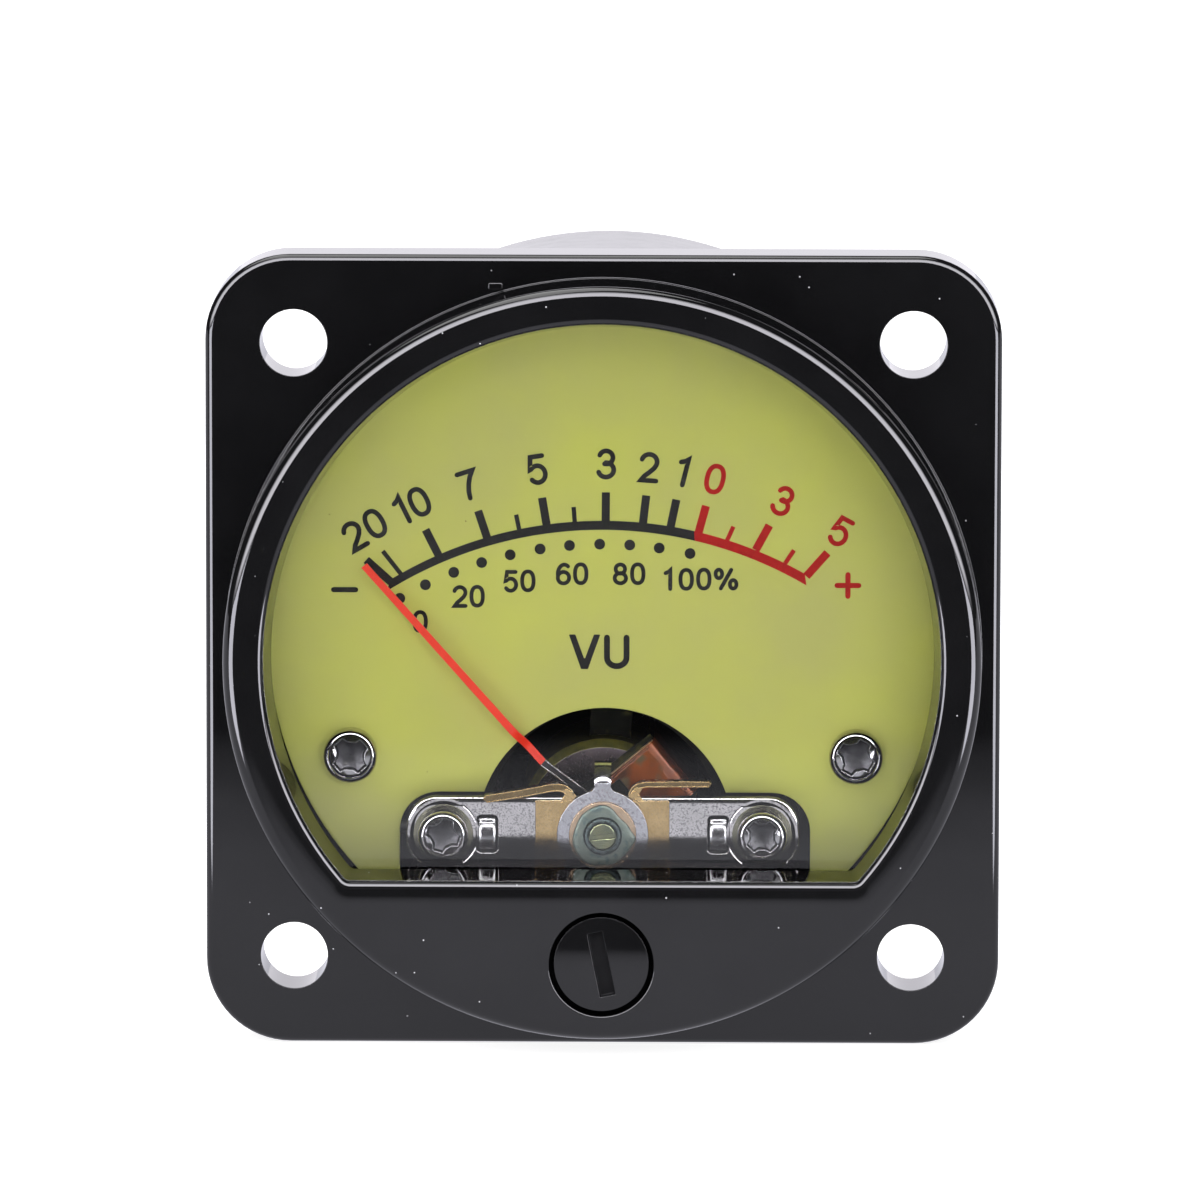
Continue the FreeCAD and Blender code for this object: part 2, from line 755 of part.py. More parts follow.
def pointer_hub():
    """Plate glued to the coil's front bar, with the boss that carries pivot, pointer and tails."""
    plate = hub_plate(coil_face_front - hub_plate_thickness, coil_face_front)
    boss = rod(hub_boss_radius, pointer_rear, coil_face_front - hub_plate_thickness / 2, 0, pivot_z)
    neck = rod(spring_inner_radius, front_spring_y - spring_wall, pointer_rear + tail_thickness, 0, pivot_z)
    arm = strip([(0, pivot_z), pointer_root], hub_arm_half_width, pointer_rear,
                pointer_rear + hub_plate_thickness)
    body = fused([plate, boss, neck, arm])
    return body.cut(rod(pivot_radius, front_spring_y - over, coil_face_front + over, 0, pivot_z))


def rear_hub():
    plate = hub_plate(coil_face_back, coil_face_back + hub_plate_thickness)
    neck = rod(spring_inner_radius, coil_face_back, rear_spring_y + spring_width + spring_wall, 0, pivot_z)
    return fused([plate, neck]).cut(rod(pivot_radius, coil_face_back - over, rear_bridge_front, 0, pivot_z))


def front_pivot():
    tip = front_jewel_back - jewel_cup_depth + pivot_tip_gap
    neck = tip + pivot_point_length
    point = cone(pivot_point_radius, pivot_radius, tip, neck, 0, pivot_z)
    return fused([point, rod(pivot_radius, neck, coil_face_front, 0, pivot_z)])


def rear_pivot():
    tip = rear_jewel_front + jewel_cup_depth - pivot_tip_gap
    neck = tip - pivot_point_length
    point = cone(pivot_radius, pivot_point_radius, neck, tip, 0, pivot_z)
    return fused([rod(pivot_radius, coil_face_back, neck, 0, pivot_z), point])


def tail_end(angle, reach):
    return (reach * math.sin(math.radians(angle)), pivot_z + reach * math.cos(math.radians(angle)))


def balance_tails():
    """Two thin arms opposite the pointer."""
    return Part.makeCompound([strip([tail_end(a, tail_start), tail_end(a, tail_length)], tail_half_width,
                                    tail_middle - tail_thickness / 2, tail_middle + tail_thickness / 2)
                              for a in tail_angles])


def balance_weights():
    """A short wound sleeve on each tail, slid along it to balance the pointer."""
    sleeves = []
    for angle in tail_angles:
        x, z = tail_end(angle, weight_start)
        direction = Vector(math.sin(math.radians(angle)), 0, math.cos(math.radians(angle)))
        outside = Part.makeCylinder(weight_radius, weight_length, Vector(x, tail_middle, z), direction)
        arm = strip([tail_end(angle, tail_start), tail_end(angle, tail_length)], tail_half_width,
                    tail_middle - tail_thickness / 2, tail_middle + tail_thickness / 2)
        sleeves.append(outside.cut(arm))
    return Part.makeCompound(sleeves)


def pointer():
    """A metal stub, a forward step and a long tapered blade over the dial."""
    start, end = pointer_rear - pointer_thickness, pointer_rear
    kx, kz = pointer_knee
    tx, tz = pointer_tip
    length = math.hypot(tx - kx, tz - kz)
    ux, uz = (tx - kx) / length, (tz - kz) / length
    step_from, step_to = pointer_step_from, pointer_step_to
    stub = strip([pointer_root, pointer_knee, (kx + ux * step_from, kz + uz * step_from)],
                 pointer_half_width, start, end)
    ramp_outline = [(step_from, end), (step_from, start), (step_to, start - pointer_lift),
                    (step_to, end - pointer_lift)]
    corners = [Vector(kx + ux * s + uz * pointer_half_width, y, kz + uz * s - ux * pointer_half_width)
               for s, y in ramp_outline]
    across = Vector(-uz * 2 * pointer_half_width, 0, ux * 2 * pointer_half_width)
    ramp = Part.Face(Part.makePolygon(corners + corners[:1])).extrude(across)
    blade_start = (kx + ux * step_to, kz + uz * step_to)
    edges = [(blade_start, pointer_half_width), ((tx, tz), pointer_tip_half_width),
             ((tx, tz), -pointer_tip_half_width), (blade_start, -pointer_half_width)]
    outline = [(x + uz * half, z - ux * half) for (x, z), half in edges]
    blade = prism(outline, start - pointer_lift, end - pointer_lift)
    return fused([stub, ramp, blade])


def spiral_edge(offset, start_y):
    samples = spring_turns * spring_steps_per_turn
    growth = spring_outer_radius - spring_inner_radius
    points = []
    for i in range(samples + 1):
        share = i / samples
        angle = 2 * math.pi * spring_turns * share
        radius = spring_inner_radius + growth * share + offset
        points.append(Vector(radius * math.sin(angle), start_y, pivot_z + radius * math.cos(angle)))
    curve = Part.BSplineCurve()
    curve.interpolate(points)
    return curve.toShape()


def hairspring(start_y):
    """A flat spiral whose last turn reaches out to its holder straight above the axis."""
    inner = spiral_edge(0.0, start_y)
    outer = spiral_edge(spring_strip, start_y)
    starts = [e.valueAt(e.FirstParameter) for e in (inner, outer)]
    ends = [e.valueAt(e.LastParameter) for e in (inner, outer)]
    caps = [Part.LineSegment(*starts).toShape(), Part.LineSegment(*ends).toShape()]
    outline = Part.Wire([inner, caps[1], outer, caps[0]])
    coil = Part.Face(outline).extrude(Vector(0, spring_width, 0))
    end_z = pivot_z + spring_outer_radius
    tongue = block(-spring_strip / 2, spring_strip / 2, start_y, start_y + spring_width, end_z,
                   pivot_z + spring_stud_radius + spring_grip)
    return fused([coil, tongue])


# board, leads and terminals
def rectifier_board():
    x_low, x_high, z_low, z_high = board_box
    body = rounded_block(x_low, x_high, board_front, board_back, z_low, z_high, board_corner_radius)
    for s in sides:
        body = body.cut(rod(stud_radius, board_front - over, board_back + over, s * stud_x, stud_z))
    return body


def rectifier_diodes():
    """Four small glass diodes in a bridge, lying on the front of the board."""
    middle = board_front - diode_lift
    diodes = []
    for row in range(diode_count):
        z = diode_first_z + row * diode_pitch
        glass = Part.makeCylinder(diode_radius, diode_length, Vector(-diode_length / 2, middle, z), x_axis)
        wire = Part.makeCylinder(wire_radius, diode_span, Vector(-diode_span / 2, middle, z), x_axis)
        ends = [rod(wire_radius, middle, board_front, s * diode_span / 2, z) for s in sides]
        diodes.append(fused([glass, wire] + ends))
    return Part.makeCompound(diodes)


def series_resistor():
    x, middle = resistor_x, board_front - resistor_lift
    body = Part.makeCylinder(resistor_radius, resistor_length,
                             Vector(x, middle, resistor_z - resistor_length / 2), z_axis)
    wire = Part.makeCylinder(wire_radius, resistor_span,
                             Vector(x, middle, resistor_z - resistor_span / 2), z_axis)
    ends = [rod(wire_radius, middle, board_front, x, resistor_z + s * resistor_span / 2) for s in sides]
    return fused([body, wire] + ends)


def stud_spacers():
    runs = [(chassis_back, board_front), (board_back, case_inner_back)]
    return Part.makeCompound([tube(spacer_tube_radius, stud_radius, start, end, s * stud_x, stud_z)
                              for s in sides for start, end in runs])


def terminal_studs():
    """Two studs clamp chassis, board and case back together and come out as the terminals."""
    head_front = chassis_front - stud_head_height
    return Part.makeCompound([fused([rod(stud_head_radius, head_front, chassis_front, s * stud_x, stud_z),
                                     rod(stud_radius, head_front, stud_end, s * stud_x, stud_z)])
                              for s in sides])


def terminal_washers():
    return Part.makeCompound([tube(terminal_washer_radius, stud_radius, case_length,
                                   case_length + washer_thickness, s * stud_x, stud_z) for s in sides])


def hex_nuts(start):
    nuts = []
    for s in sides:
        body = hexagon(nut_across_flats, start, start + nut_height, s * stud_x, stud_z)
        nuts.append(body.cut(rod(stud_radius, start - over, start + nut_height + over, s * stud_x, stud_z)))
    return Part.makeCompound(nuts)


def solder_lugs():
    """Ring tags between the nuts, each with a tail that points up for the wiring."""
    lugs = []
    for s in sides:
        x = s * stud_x
        tail = block(x - lug_half_width, x + lug_half_width, lug_start, outer_nut_start,
                     stud_z + lug_ring_radius - over, stud_z + lug_reach)
        body = fused([rod(lug_ring_radius, lug_start, outer_nut_start, x, stud_z), tail])
        for radius, height in ((stud_radius, 0), (lug_hole_radius, lug_hole_height)):
            body = body.cut(rod(radius, lug_start - over, outer_nut_start + over, x, stud_z + height))
        lugs.append(body)
    return Part.makeCompound(lugs)


def coil_leads():
    """One wire from the left pillar, at the front spring's potential, and one from the rear spring."""
    start_y, turn_y, last_turn_y = -0.6, rear_bridge_front + 0.2, board_front - 2.2
    front_x, front_z = front_lead_end
    rear_x, rear_z = rear_lead_end
    front = lead([(-bridge_screw_x - pillar_radius, start_y, pivot_z), (front_lead_x, start_y, pivot_z),
                  (front_lead_x, turn_y, pivot_z), (front_x, last_turn_y, front_z),
                  (front_x, board_front, front_z)], lead_radius)
    rear_y = rear_bridge_front - anchor_thickness / 2
    rear = lead([(0, rear_y, anchor_top), (0, rear_y, anchor_top + 2.6),
                 (rear_x, board_front - 2.6, rear_z), (rear_x, board_front, rear_z)], lead_radius)
    return Part.makeCompound([front, rear])


# all nodes
nodes = {
    "front_bezel": front_bezel,
    "window_lens": window_lens,
    "rear_case": rear_case,
    "case_screws": case_screws,
    "zero_adjuster": zero_adjuster,
    "adjuster_clip": adjuster_clip,
    "zero_lever": zero_lever,
    "dial_plate": dial_plate,
    "dial_screws": dial_screws,
    "movement_frame": movement_frame,
    "yoke_ring": yoke_ring,
    "core_magnet": core_magnet,
    "core_spacers": core_spacers,
    "front_bridge": front_bridge,
    "front_pillars": lambda: pillars(bridge_back, yoke_front),
    "bridge_screws": bridge_screws,
    "rear_bridge": rear_bridge,
    "rear_pillars": lambda: pillars(chassis_back, rear_bridge_front),
    "rear_bridge_screws": rear_bridge_screws,
    "contact_plate": contact_plate,
    "friction_washer": friction_washer,
    "front_lock_nut": lambda: lock_nut(nut_front, washer_front),
    "front_jewel_screw": front_jewel_screw,
    "front_jewel": front_jewel,
    "rear_lock_nut": lambda: lock_nut(rear_bridge_back, rear_bridge_back + 0.5),
    "rear_jewel_screw": rear_jewel_screw,
    "rear_jewel": rear_jewel,
    "rear_spring_anchor": rear_spring_anchor,
    "coil_bobbin": coil_bobbin,
    "coil_winding": coil_winding,
    "pointer_hub": pointer_hub,
    "rear_hub": rear_hub,
    "front_pivot": front_pivot,
    "rear_pivot": rear_pivot,
    "pointer": pointer,
    "balance_tails": balance_tails,
    "balance_weights": balance_weights,
    "front_hairspring": lambda: hairspring(front_spring_y),
    "rear_hairspring": lambda: hairspring(rear_spring_y),
    "rectifier_board": rectifier_board,
    "rectifier_diodes": rectifier_diodes,
    "series_resistor": series_resistor,
    "coil_leads": coil_leads,
    "stud_spacers": stud_spacers,
    "terminal_studs": terminal_studs,
    "terminal_washers": terminal_washers,
    "inner_nuts": lambda: hex_nuts(case_length + washer_thickness),
    "solder_lugs": solder_lugs,
    "outer_nuts": lambda: hex_nuts(outer_nut_start),
}

os.makedirs("parts", exist_ok=True)
for name, make in nodes.items():
    shape = make()
    shape.exportStep(f"parts/{name}.step")
    box = shape.BoundBox
    print(f"{name:20s} solids {len(shape.Solids)} valid {shape.isValid()} volume {shape.Volume:9.3f}"
          f"  x {box.XMin:7.2f} {box.XMax:7.2f}  y {box.YMin:7.2f} {box.YMax:7.2f}"
          f"  z {box.ZMin:7.2f} {box.ZMax:7.2f}")
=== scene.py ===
import math

import bpy
from mathutils import Matrix, Vector
from mathutils.geometry import tessellate_polygon


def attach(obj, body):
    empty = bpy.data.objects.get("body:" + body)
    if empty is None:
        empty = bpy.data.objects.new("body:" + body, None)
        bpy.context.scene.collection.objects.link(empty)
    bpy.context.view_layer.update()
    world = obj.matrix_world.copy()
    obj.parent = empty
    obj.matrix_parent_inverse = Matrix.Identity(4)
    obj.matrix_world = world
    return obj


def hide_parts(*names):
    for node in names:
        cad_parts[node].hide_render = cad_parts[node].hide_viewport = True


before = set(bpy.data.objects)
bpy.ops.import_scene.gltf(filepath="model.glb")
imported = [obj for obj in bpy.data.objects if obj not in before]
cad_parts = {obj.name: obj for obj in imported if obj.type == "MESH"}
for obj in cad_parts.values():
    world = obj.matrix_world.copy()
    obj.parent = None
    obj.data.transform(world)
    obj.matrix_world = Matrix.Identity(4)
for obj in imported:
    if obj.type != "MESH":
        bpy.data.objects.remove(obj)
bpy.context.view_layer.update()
print("frame loaded:", len(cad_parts), "nodes")

mm = 0.001
fullTurn = 2 * math.pi
pivotX, pivotZ = 0.0, -10.6  # axis of the moving coil, millimetres
adjusterZ = -17.2


# shaders
def screen(red, green, blue):
    # a colour as seen on screen, 0-255, in the linear values that shaders use
    def linear(level):
        level = level / 255
        return level / 12.92 if level <= 0.04045 else ((level + 0.055) / 1.055) ** 2.4
    return (linear(red), linear(green), linear(blue))


def feed(tree, node, inputs):
    # each input takes another node's output or a plain value
    for key, value in inputs.items():
        if isinstance(value, bpy.types.NodeSocket):
            tree.links.new(value, node.inputs[key])
        else:
            node.inputs[key].default_value = value


def put(tree, kind, inputs=None, **settings):
    made = tree.nodes.new(kind)
    for key, value in settings.items():
        setattr(made, key, value)
    feed(tree, made, inputs or {})
    return made


def calc(tree, operation, *values):
    return put(tree, "ShaderNodeMath", dict(enumerate(values)), operation=operation).outputs[0]


def noise(tree, place, scale, detail, rough=0.5):
    return put(tree, "ShaderNodeTexNoise", {"Vector": place, "Scale": scale, "Detail": detail,
                                            "Roughness": rough}).outputs["Fac"]


def span(tree, factor, low, high, fromMin=0.3, fromMax=0.7):
    # a value between two limits, stretched over another range
    return put(tree, "ShaderNodeMapRange", {"Value": factor, "From Min": fromMin,
                                            "From Max": fromMax, "To Min": low,
                                            "To Max": high}).outputs["Result"]


def blendColour(tree, factor, first, second):
    return put(tree, "ShaderNodeMix", {0: factor, 6: first, 7: second},
               data_type="RGBA").outputs[2]


def bump(tree, height, depth, **below):
    # depth in millimetres; below is the normal that this bump lies on
    return put(tree, "ShaderNodeBump", {"Height": height, "Distance": depth * mm,
                                        "Strength": 1.0, **below}).outputs["Normal"]


def newMaterial(name):
    material = bpy.data.materials.new(name)
    material.use_nodes = True
    tree = material.node_tree
    place = put(tree, "ShaderNodeTexCoord").outputs["Object"]
    return material, tree, tree.nodes["Principled BSDF"], place


def finish(name, colour, second, patch, rough, grain, depth, more=None):
    # the one builder for every solid finish: two colours mixed by a soft noise, roughness from
    # another, bump from fine grain or pebbling, and flecks, rare specks or a painted highlight on
    # top
    material, tree, surface, place = newMaterial(name)
    more = more or {}
    turned = put(tree, "ShaderNodeMapping", {"Vector": place,
                                             "Scale": more.get("stretch", (1, 1, 1))})
    turned = turned.outputs["Vector"]
    mixed = blendColour(tree, span(tree, noise(tree, place, patch, 4.0), 0, 1), (*colour, 1),
                        (*second, 1))
    # painted highlight: the colour fades to a lighter one along an axis, where light falls on that
    # side
    if "paintedLightFade" in more:
        axis, start, end, paintedLitColour = more["paintedLightFade"]
        along = put(tree, "ShaderNodeSeparateXYZ", {"Vector": place}).outputs[axis]
        mixed = blendColour(tree, span(tree, along, 0, 1, start * mm, end * mm), mixed, (*paintedLitColour, 1))
    if "flecks" in more:
        scale, low, high, fleck = more["flecks"]
        mixed = blendColour(tree, span(tree, noise(tree, turned, scale, 1.0), 0, 1, low, high),
                            mixed, (*fleck, 1))
    if "specks" in more:
        scale, size, share, speck = more["specks"]
        cells = put(tree, "ShaderNodeTexVoronoi", {"Vector": place, "Scale": scale}).outputs
        small = span(tree, cells["Distance"], 1, 0, size * 0.6, size)
        chance = put(tree, "ShaderNodeSeparateColor", {"Color": cells["Color"]}).outputs["Red"]
        rare = span(tree, chance, 0, 1, 1 - share, 1.001 - share)
        mixed = blendColour(tree, calc(tree, "MULTIPLY", small, rare), mixed, (*speck, 1))
    relief = bump(tree, noise(tree, turned, grain, 3.0, 0.6), depth)
    if "pebble" in more:
        size, height = more["pebble"]
        relief = bump(tree, noise(tree, place, size, 1.0), height, Normal=relief)
    broad = noise(tree, turned, patch * 2.3, 5.0)
    feed(tree, surface, {"Base Color": mixed, "Roughness": span(tree, broad, *rough),
                         "Normal": relief, **more.get("shader", {})})
    return material


metal = {"Metallic": 1.0}
dust = (1900, 0.10, 0.06, (0.62, 0.62, 0.66))
finishes = {
    # the two colours, size of their patches, roughness, size of the grain and its depth in mm;
    # pebble: size, depth; flecks: size, limits, colour; specks: size, reach, share, colour
    "blackPlastic": ((0.0050, 0.0050, 0.0056), (0.0070, 0.0070, 0.0078), 260, (0.03, 0.06), 2600,
                     0.0002, {"pebble": (500, 0.0006), "specks": dust, "shader": {"IOR": 1.5}}),
    "casePlastic": ((0.0060, 0.0060, 0.0066), (0.0085, 0.0085, 0.0093), 300, (0.11, 0.16), 2600,
                    0.0003, {"pebble": (500, 0.0006), "specks": dust,
                             "shader": {"Specular IOR Level": 0.3}}),
    "dialPaint": (screen(207, 208, 106), screen(197, 195, 118), 130, (0.42, 0.52), 9000, 0.0015,
                  {"specks": (900, 0.05, 0.05, (0.20, 0.15, 0.05)), "shader": {"IOR": 1.2}}),
    "printBlack": (screen(30, 28, 30), screen(22, 21, 23), 3000, (0.45, 0.6), 9000, 0.002,
                   {"shader": {"IOR": 1.3}}),
    "printRed": (screen(184, 22, 22), screen(168, 14, 16), 3000, (0.45, 0.6), 9000, 0.002,
                 {"shader": {"IOR": 1.3}}),
    "nickel": ((0.66, 0.62, 0.63), (0.58, 0.55, 0.55), 600, (0.06, 0.10), 9000, 0.0004,
               {"pebble": (5000, 0.0009), "flecks": (9500, 0.50, 0.66, (0.36, 0.34, 0.35)),
                "shader": metal}),
    "tabNickel": ((0.36, 0.35, 0.36), (0.24, 0.23, 0.24), 1400, (0.16, 0.26), 8000, 0.001,
                  {"pebble": (2600, 0.001), "shader": metal}),
    "oliveNickel": ((0.24, 0.23, 0.16), (0.34, 0.32, 0.25), 1500, (0.16, 0.26), 8000, 0.0008,
                    {"shader": metal}),
    "leverNickel": ((0.60, 0.58, 0.62), (0.50, 0.49, 0.52), 900, (0.10, 0.16), 9000, 0.0006,
                    {"flecks": (7500, 0.52, 0.70, (0.40, 0.38, 0.41)), "shader": metal}),
    "screwSteel": ((0.52, 0.50, 0.52), (0.40, 0.385, 0.40), 1600, (0.05, 0.10), 7000, 0.0005,
                   {"pebble": (1400, 0.0016), "shader": metal}),
    # steel painted near black and dull as painted shade, for drive wells and shaded edges and
    # floors
    "paintedShadeSteel": ((0.085, 0.082, 0.087), (0.040, 0.038, 0.042), 1600, (0.28, 0.42), 7000, 0.001,
                  {"shader": metal}),
    "zincPlate": ((0.60, 0.60, 0.60), (0.47, 0.46, 0.44), 500, (0.18, 0.32), 7000, 0.0015,
                  {"pebble": (1500, 0.003), "shader": metal}),
    "brass": ((0.66, 0.47, 0.24), (0.54, 0.37, 0.17), 1200, (0.10, 0.18), 7000, 0.0009,
              {"flecks": (11000, 0.50, 0.68, (0.46, 0.31, 0.14)), "shader": metal}),
    # brass darkened and roughened for the arms' cut edges; the darkening is painted shade
    "paintedShadeEdgeBrass": ((0.26, 0.18, 0.085), (0.19, 0.13, 0.06), 900, (0.22, 0.32), 5200, 0.0006,
                  {"shader": metal}),
    "dullBrass": ((0.34, 0.34, 0.20), (0.22, 0.25, 0.17), 1800, (0.14, 0.24), 6000, 0.001,
                  {"shader": metal}),
    "darkNut": ((0.060, 0.085, 0.085), (0.035, 0.050, 0.055), 2500, (0.20, 0.36), 6000, 0.002,
                {"shader": {"Metallic": 0.5}}),
    "copper": ((0.66, 0.50, 0.36), (0.56, 0.40, 0.27), 1500, (0.18, 0.28), 7000, 0.001,
               {"shader": metal}),
    "coilVarnish": ((0.42, 0.088, 0.006), (0.085, 0.028, 0.008), 620, (0.50, 0.65), 4000, 0.0015,
                    {"pebble": (800, 0.05), "flecks": (1100, 0.54, 0.72, (0.15, 0.10, 0.05)),
                     "shader": {"Specular IOR Level": 0.15}}),
    "magnetWire": ((0.34, 0.085, 0.018), (0.16, 0.035, 0.010), 900, (0.16, 0.26), 9000, 0.001,
                   {"shader": {"Metallic": 0.6, "Coat Weight": 1.0, "Coat Roughness": 0.08}}),
    "aluminium": ((0.70, 0.69, 0.70), (0.56, 0.55, 0.56), 1500, (0.10, 0.20), 7000, 0.001,
                  {"stretch": (6, 1, 1), "shader": metal}),
    "goldFoil": ((0.36, 0.25, 0.13), (0.20, 0.13, 0.06), 1400, (0.28, 0.40), 7000, 0.001,
                 {"shader": metal}),
    # iron painted near black and dull as painted shade, for the yoke ring round the coil
    "paintedShadeIron": ((0.016, 0.015, 0.013), (0.010, 0.009, 0.008), 800, (0.35, 0.5), 6000, 0.002,
                 {"pebble": (1800, 0.003), "shader": {"Specular IOR Level": 0.1}}),
    # the core's face grows lighter towards its top as a painted highlight
    "coreFace": ((0.022, 0.016, 0.014), (0.040, 0.028, 0.025), 700, (0.24, 0.38), 3600, 0.002,
                 {"pebble": (1600, 0.006), "flecks": (9000, 0.62, 0.74, (0.26, 0.22, 0.23)),
                  "paintedLightFade": ("Z", -7.9, -6.3, (0.17, 0.135, 0.145)), "shader": {"Metallic": 0.9}}),
    "coreEdge": ((0.27, 0.24, 0.045), (0.16, 0.14, 0.025), 1500, (0.30, 0.45), 5000, 0.002,
                 {"shader": {"Metallic": 0.7}}),
    # brass painted near black as painted shade, for parts in the shade round the coil
    "paintedShadeBrass": ((0.008, 0.007, 0.003), (0.004, 0.004, 0.002), 900, (0.4, 0.55), 5000, 0.002,
                  {"flecks": (1500, 0.60, 0.74, (0.05, 0.045, 0.010)),
                   "shader": {"Specular IOR Level": 0.1}}),
    # the adjuster's slot, darker and duller than the head as painted shade
    "paintedShadeSlotPlastic": ((0.0032, 0.0032, 0.0036), (0.0060, 0.0060, 0.0066), 1500, (0.5, 0.7), 4000,
                    0.01, {"shader": {"Specular IOR Level": 0.10}}),
    # plastic painted darker and duller as painted shade, for the frame round the coil
    "paintedShadePlastic": ((0.0022, 0.0022, 0.0026), (0.0034, 0.0034, 0.0040), 400, (0.55, 0.7), 3000,
                    0.003, {"shader": {"Specular IOR Level": 0.1}}),
    "pointerRed": (screen(255, 60, 34), screen(250, 48, 26), 1400, (0.30, 0.40), 8000, 0.001),
    "lacquerGreen": ((0.125, 0.155, 0.140), (0.165, 0.190, 0.165), 1500, (0.34, 0.46), 3000, 0.001,
                     {"pebble": (1300, 0.0012), "flecks": (2600, 0.54, 0.72, (0.085, 0.125, 0.118)),
                      "shader": {"Metallic": 0.75}}),
    "jewelStone": ((0.55, 0.10, 0.16), (0.70, 0.18, 0.24), 2000, (0.05, 0.1), 9000, 0.001,
                   {"shader": {"IOR": 1.76, "Coat Weight": 0.5}}),
    "boardResin": ((0.30, 0.17, 0.07), (0.24, 0.13, 0.05), 500, (0.40, 0.55), 3500, 0.006,
                   {"stretch": (1, 1, 4)}),
    "bodyResin": ((0.10, 0.025, 0.012), (0.16, 0.045, 0.02), 900, (0.25, 0.40), 6000, 0.003),
    "wireCover": ((0.020, 0.018, 0.018), (0.012, 0.010, 0.010), 900, (0.38, 0.50), 2500, 0.002),
    "tinned": ((0.70, 0.68, 0.64), (0.58, 0.55, 0.50), 600, (0.20, 0.38), 5000, 0.003,
               {"pebble": (900, 0.012), "shader": metal}),
}


def lensMaterial(name, bend=1.49, tone=(0.97, 0.98, 0.97, 1), mirror=(0.9, 0.9, 0.9, 1)):
    # clear acrylic: light passes straight through, and the surface mirrors by its angle
    material, tree, surface, place = newMaterial(name)
    feed(tree, surface, {"Base Color": mirror, "Metallic": 1.0,
                         "Roughness": span(tree, noise(tree, place, 5000.0, 2.0), 0.01, 0.03),
                         "Normal": bump(tree, noise(tree, place, 300.0, 3.0), 0.0002)})
    clear = put(tree, "ShaderNodeBsdfTransparent", {"Color": tone}).outputs[0]
    gloss = put(tree, "ShaderNodeFresnel", {"IOR": bend}).outputs[0]
    both = put(tree, "ShaderNodeMixShader", {0: gloss, 1: clear, 2: surface.outputs[0]})
    feed(tree, tree.nodes["Material Output"], {"Surface": both.outputs[0]})
    return material


looks = {name: finish(name, *values) for name, values in finishes.items()}
looks["clearLens"] = lensMaterial("clearLens")
print("materials made")


# mesh building: rings of points with a normal at every corner, millimetres
def newShell():
    return {"points": [], "faces": [], "normals": []}


def addRing(shell, points):
    start = len(shell["points"])
    shell["points"].extend(points)
    return list(range(start, start + len(points)))


def addFace(shell, corners, normals):
    # the face turns to agree with its corner normals
    spots = [Vector(shell["points"][i]) for i in corners]
    facing = Vector()
    for a, b in zip(spots, spots[1:] + spots[:1]):
        facing += a.cross(b)
    wanted = sum((Vector(n) for n in normals), Vector())
    if facing.length < 1e-12:
        return
    if facing.dot(wanted) < 0:
        corners, normals = corners[::-1], normals[::-1]
    shell["faces"].append(corners)
    shell["normals"].extend(normals)


def bridge(shell, ringA, normalsA, ringB, normalsB, closed):
    count = len(ringA)
    for i in range(count if closed else count - 1):
        j = (i + 1) % count
        addFace(shell, [ringA[i], ringA[j], ringB[j], ringB[i]],
                [normalsA[i], normalsA[j], normalsB[j], normalsB[i]])


def skin(shell, runs, closed=True):
    # runs of (points, normals) rings; a run starts on the last ring of the one before it
    first = last = None
    for run in runs:
        for k, (points, normals) in enumerate(run):
            ring = last if k == 0 and last is not None else addRing(shell, points)
            if k > 0:
                bridge(shell, before, beforeNormals, ring, normals, closed)
            if first is None:
                first = ring
            before, beforeNormals = ring, normals
        last = ring
    return first, last


# profiles: runs of (offset, y, normal outward, normal along y), front to back
def wallRun(offset, front, back, out=1):
    return [(offset, front, out, 0), (offset, back, out, 0)]


def stepRun(start, end, y, forward):
    return [(start, y, 0, forward), (end, y, 0, forward)]


def arcRun(offset, y, radius, fromAngle, toAngle, steps=5, side=1):
    run = []
    for k in range(steps + 1):
        angle = math.radians(fromAngle + (toAngle - fromAngle) * k / steps)
        out, forward = math.cos(angle), math.sin(angle)
        run.append((offset + radius * out, y + radius * forward, side * out, side * forward))
    return run


def rimProfile(edge, front, back, steps, offset=0):
    # a wall between two rounded edges
    return [arcRun(offset - edge, front + edge, edge, -90, 0, steps),
            wallRun(offset, front + edge, back - edge),
            arcRun(offset - edge, back - edge, edge, 0, 90, steps)]


def holeProfile(edge, front, back, steps):
    return [arcRun(edge, front + edge, edge, -90, -180, steps),
            wallRun(0, front + edge, back - edge, -1),
            arcRun(edge, back - edge, edge, 180, 90, steps)]


def offsetRing(outline, offset, y, out, forward):
    return ([(x + nx * offset, y, z + nz * offset) for x, z, nx, nz in outline],
            [(nx * out, forward, nz * out) for x, z, nx, nz in outline])


def sweep(shell, outline, profile):
    # outline: (x, z, outward x, outward z)
    return skin(shell, [[offsetRing(outline, *station) for station in run] for run in profile])


def fillCap(shell, rings, forward):
    loops = [[Vector((shell["points"][i][0], shell["points"][i][2], 0)) for i in ring]
             for ring in rings]
    flat = [i for ring in rings for i in ring]
    for triangle in tessellate_polygon(loops):
        addFace(shell, [flat[i] for i in triangle], [(0, forward, 0)] * 3)


# outlines
def circle(radius, x=0.0, z=0.0, count=96):
    made = []
    for k in range(count):
        angle = fullTurn * k / count
        nx, nz = math.sin(angle), math.cos(angle)
        made.append((x + radius * nx, z + radius * nz, nx, nz))
    return made


def windingSign(points):
    area = sum(a[0] * b[1] - b[0] * a[1] for a, b in zip(points, points[1:] + points[:1]))
    return 1 if area > 0 else -1


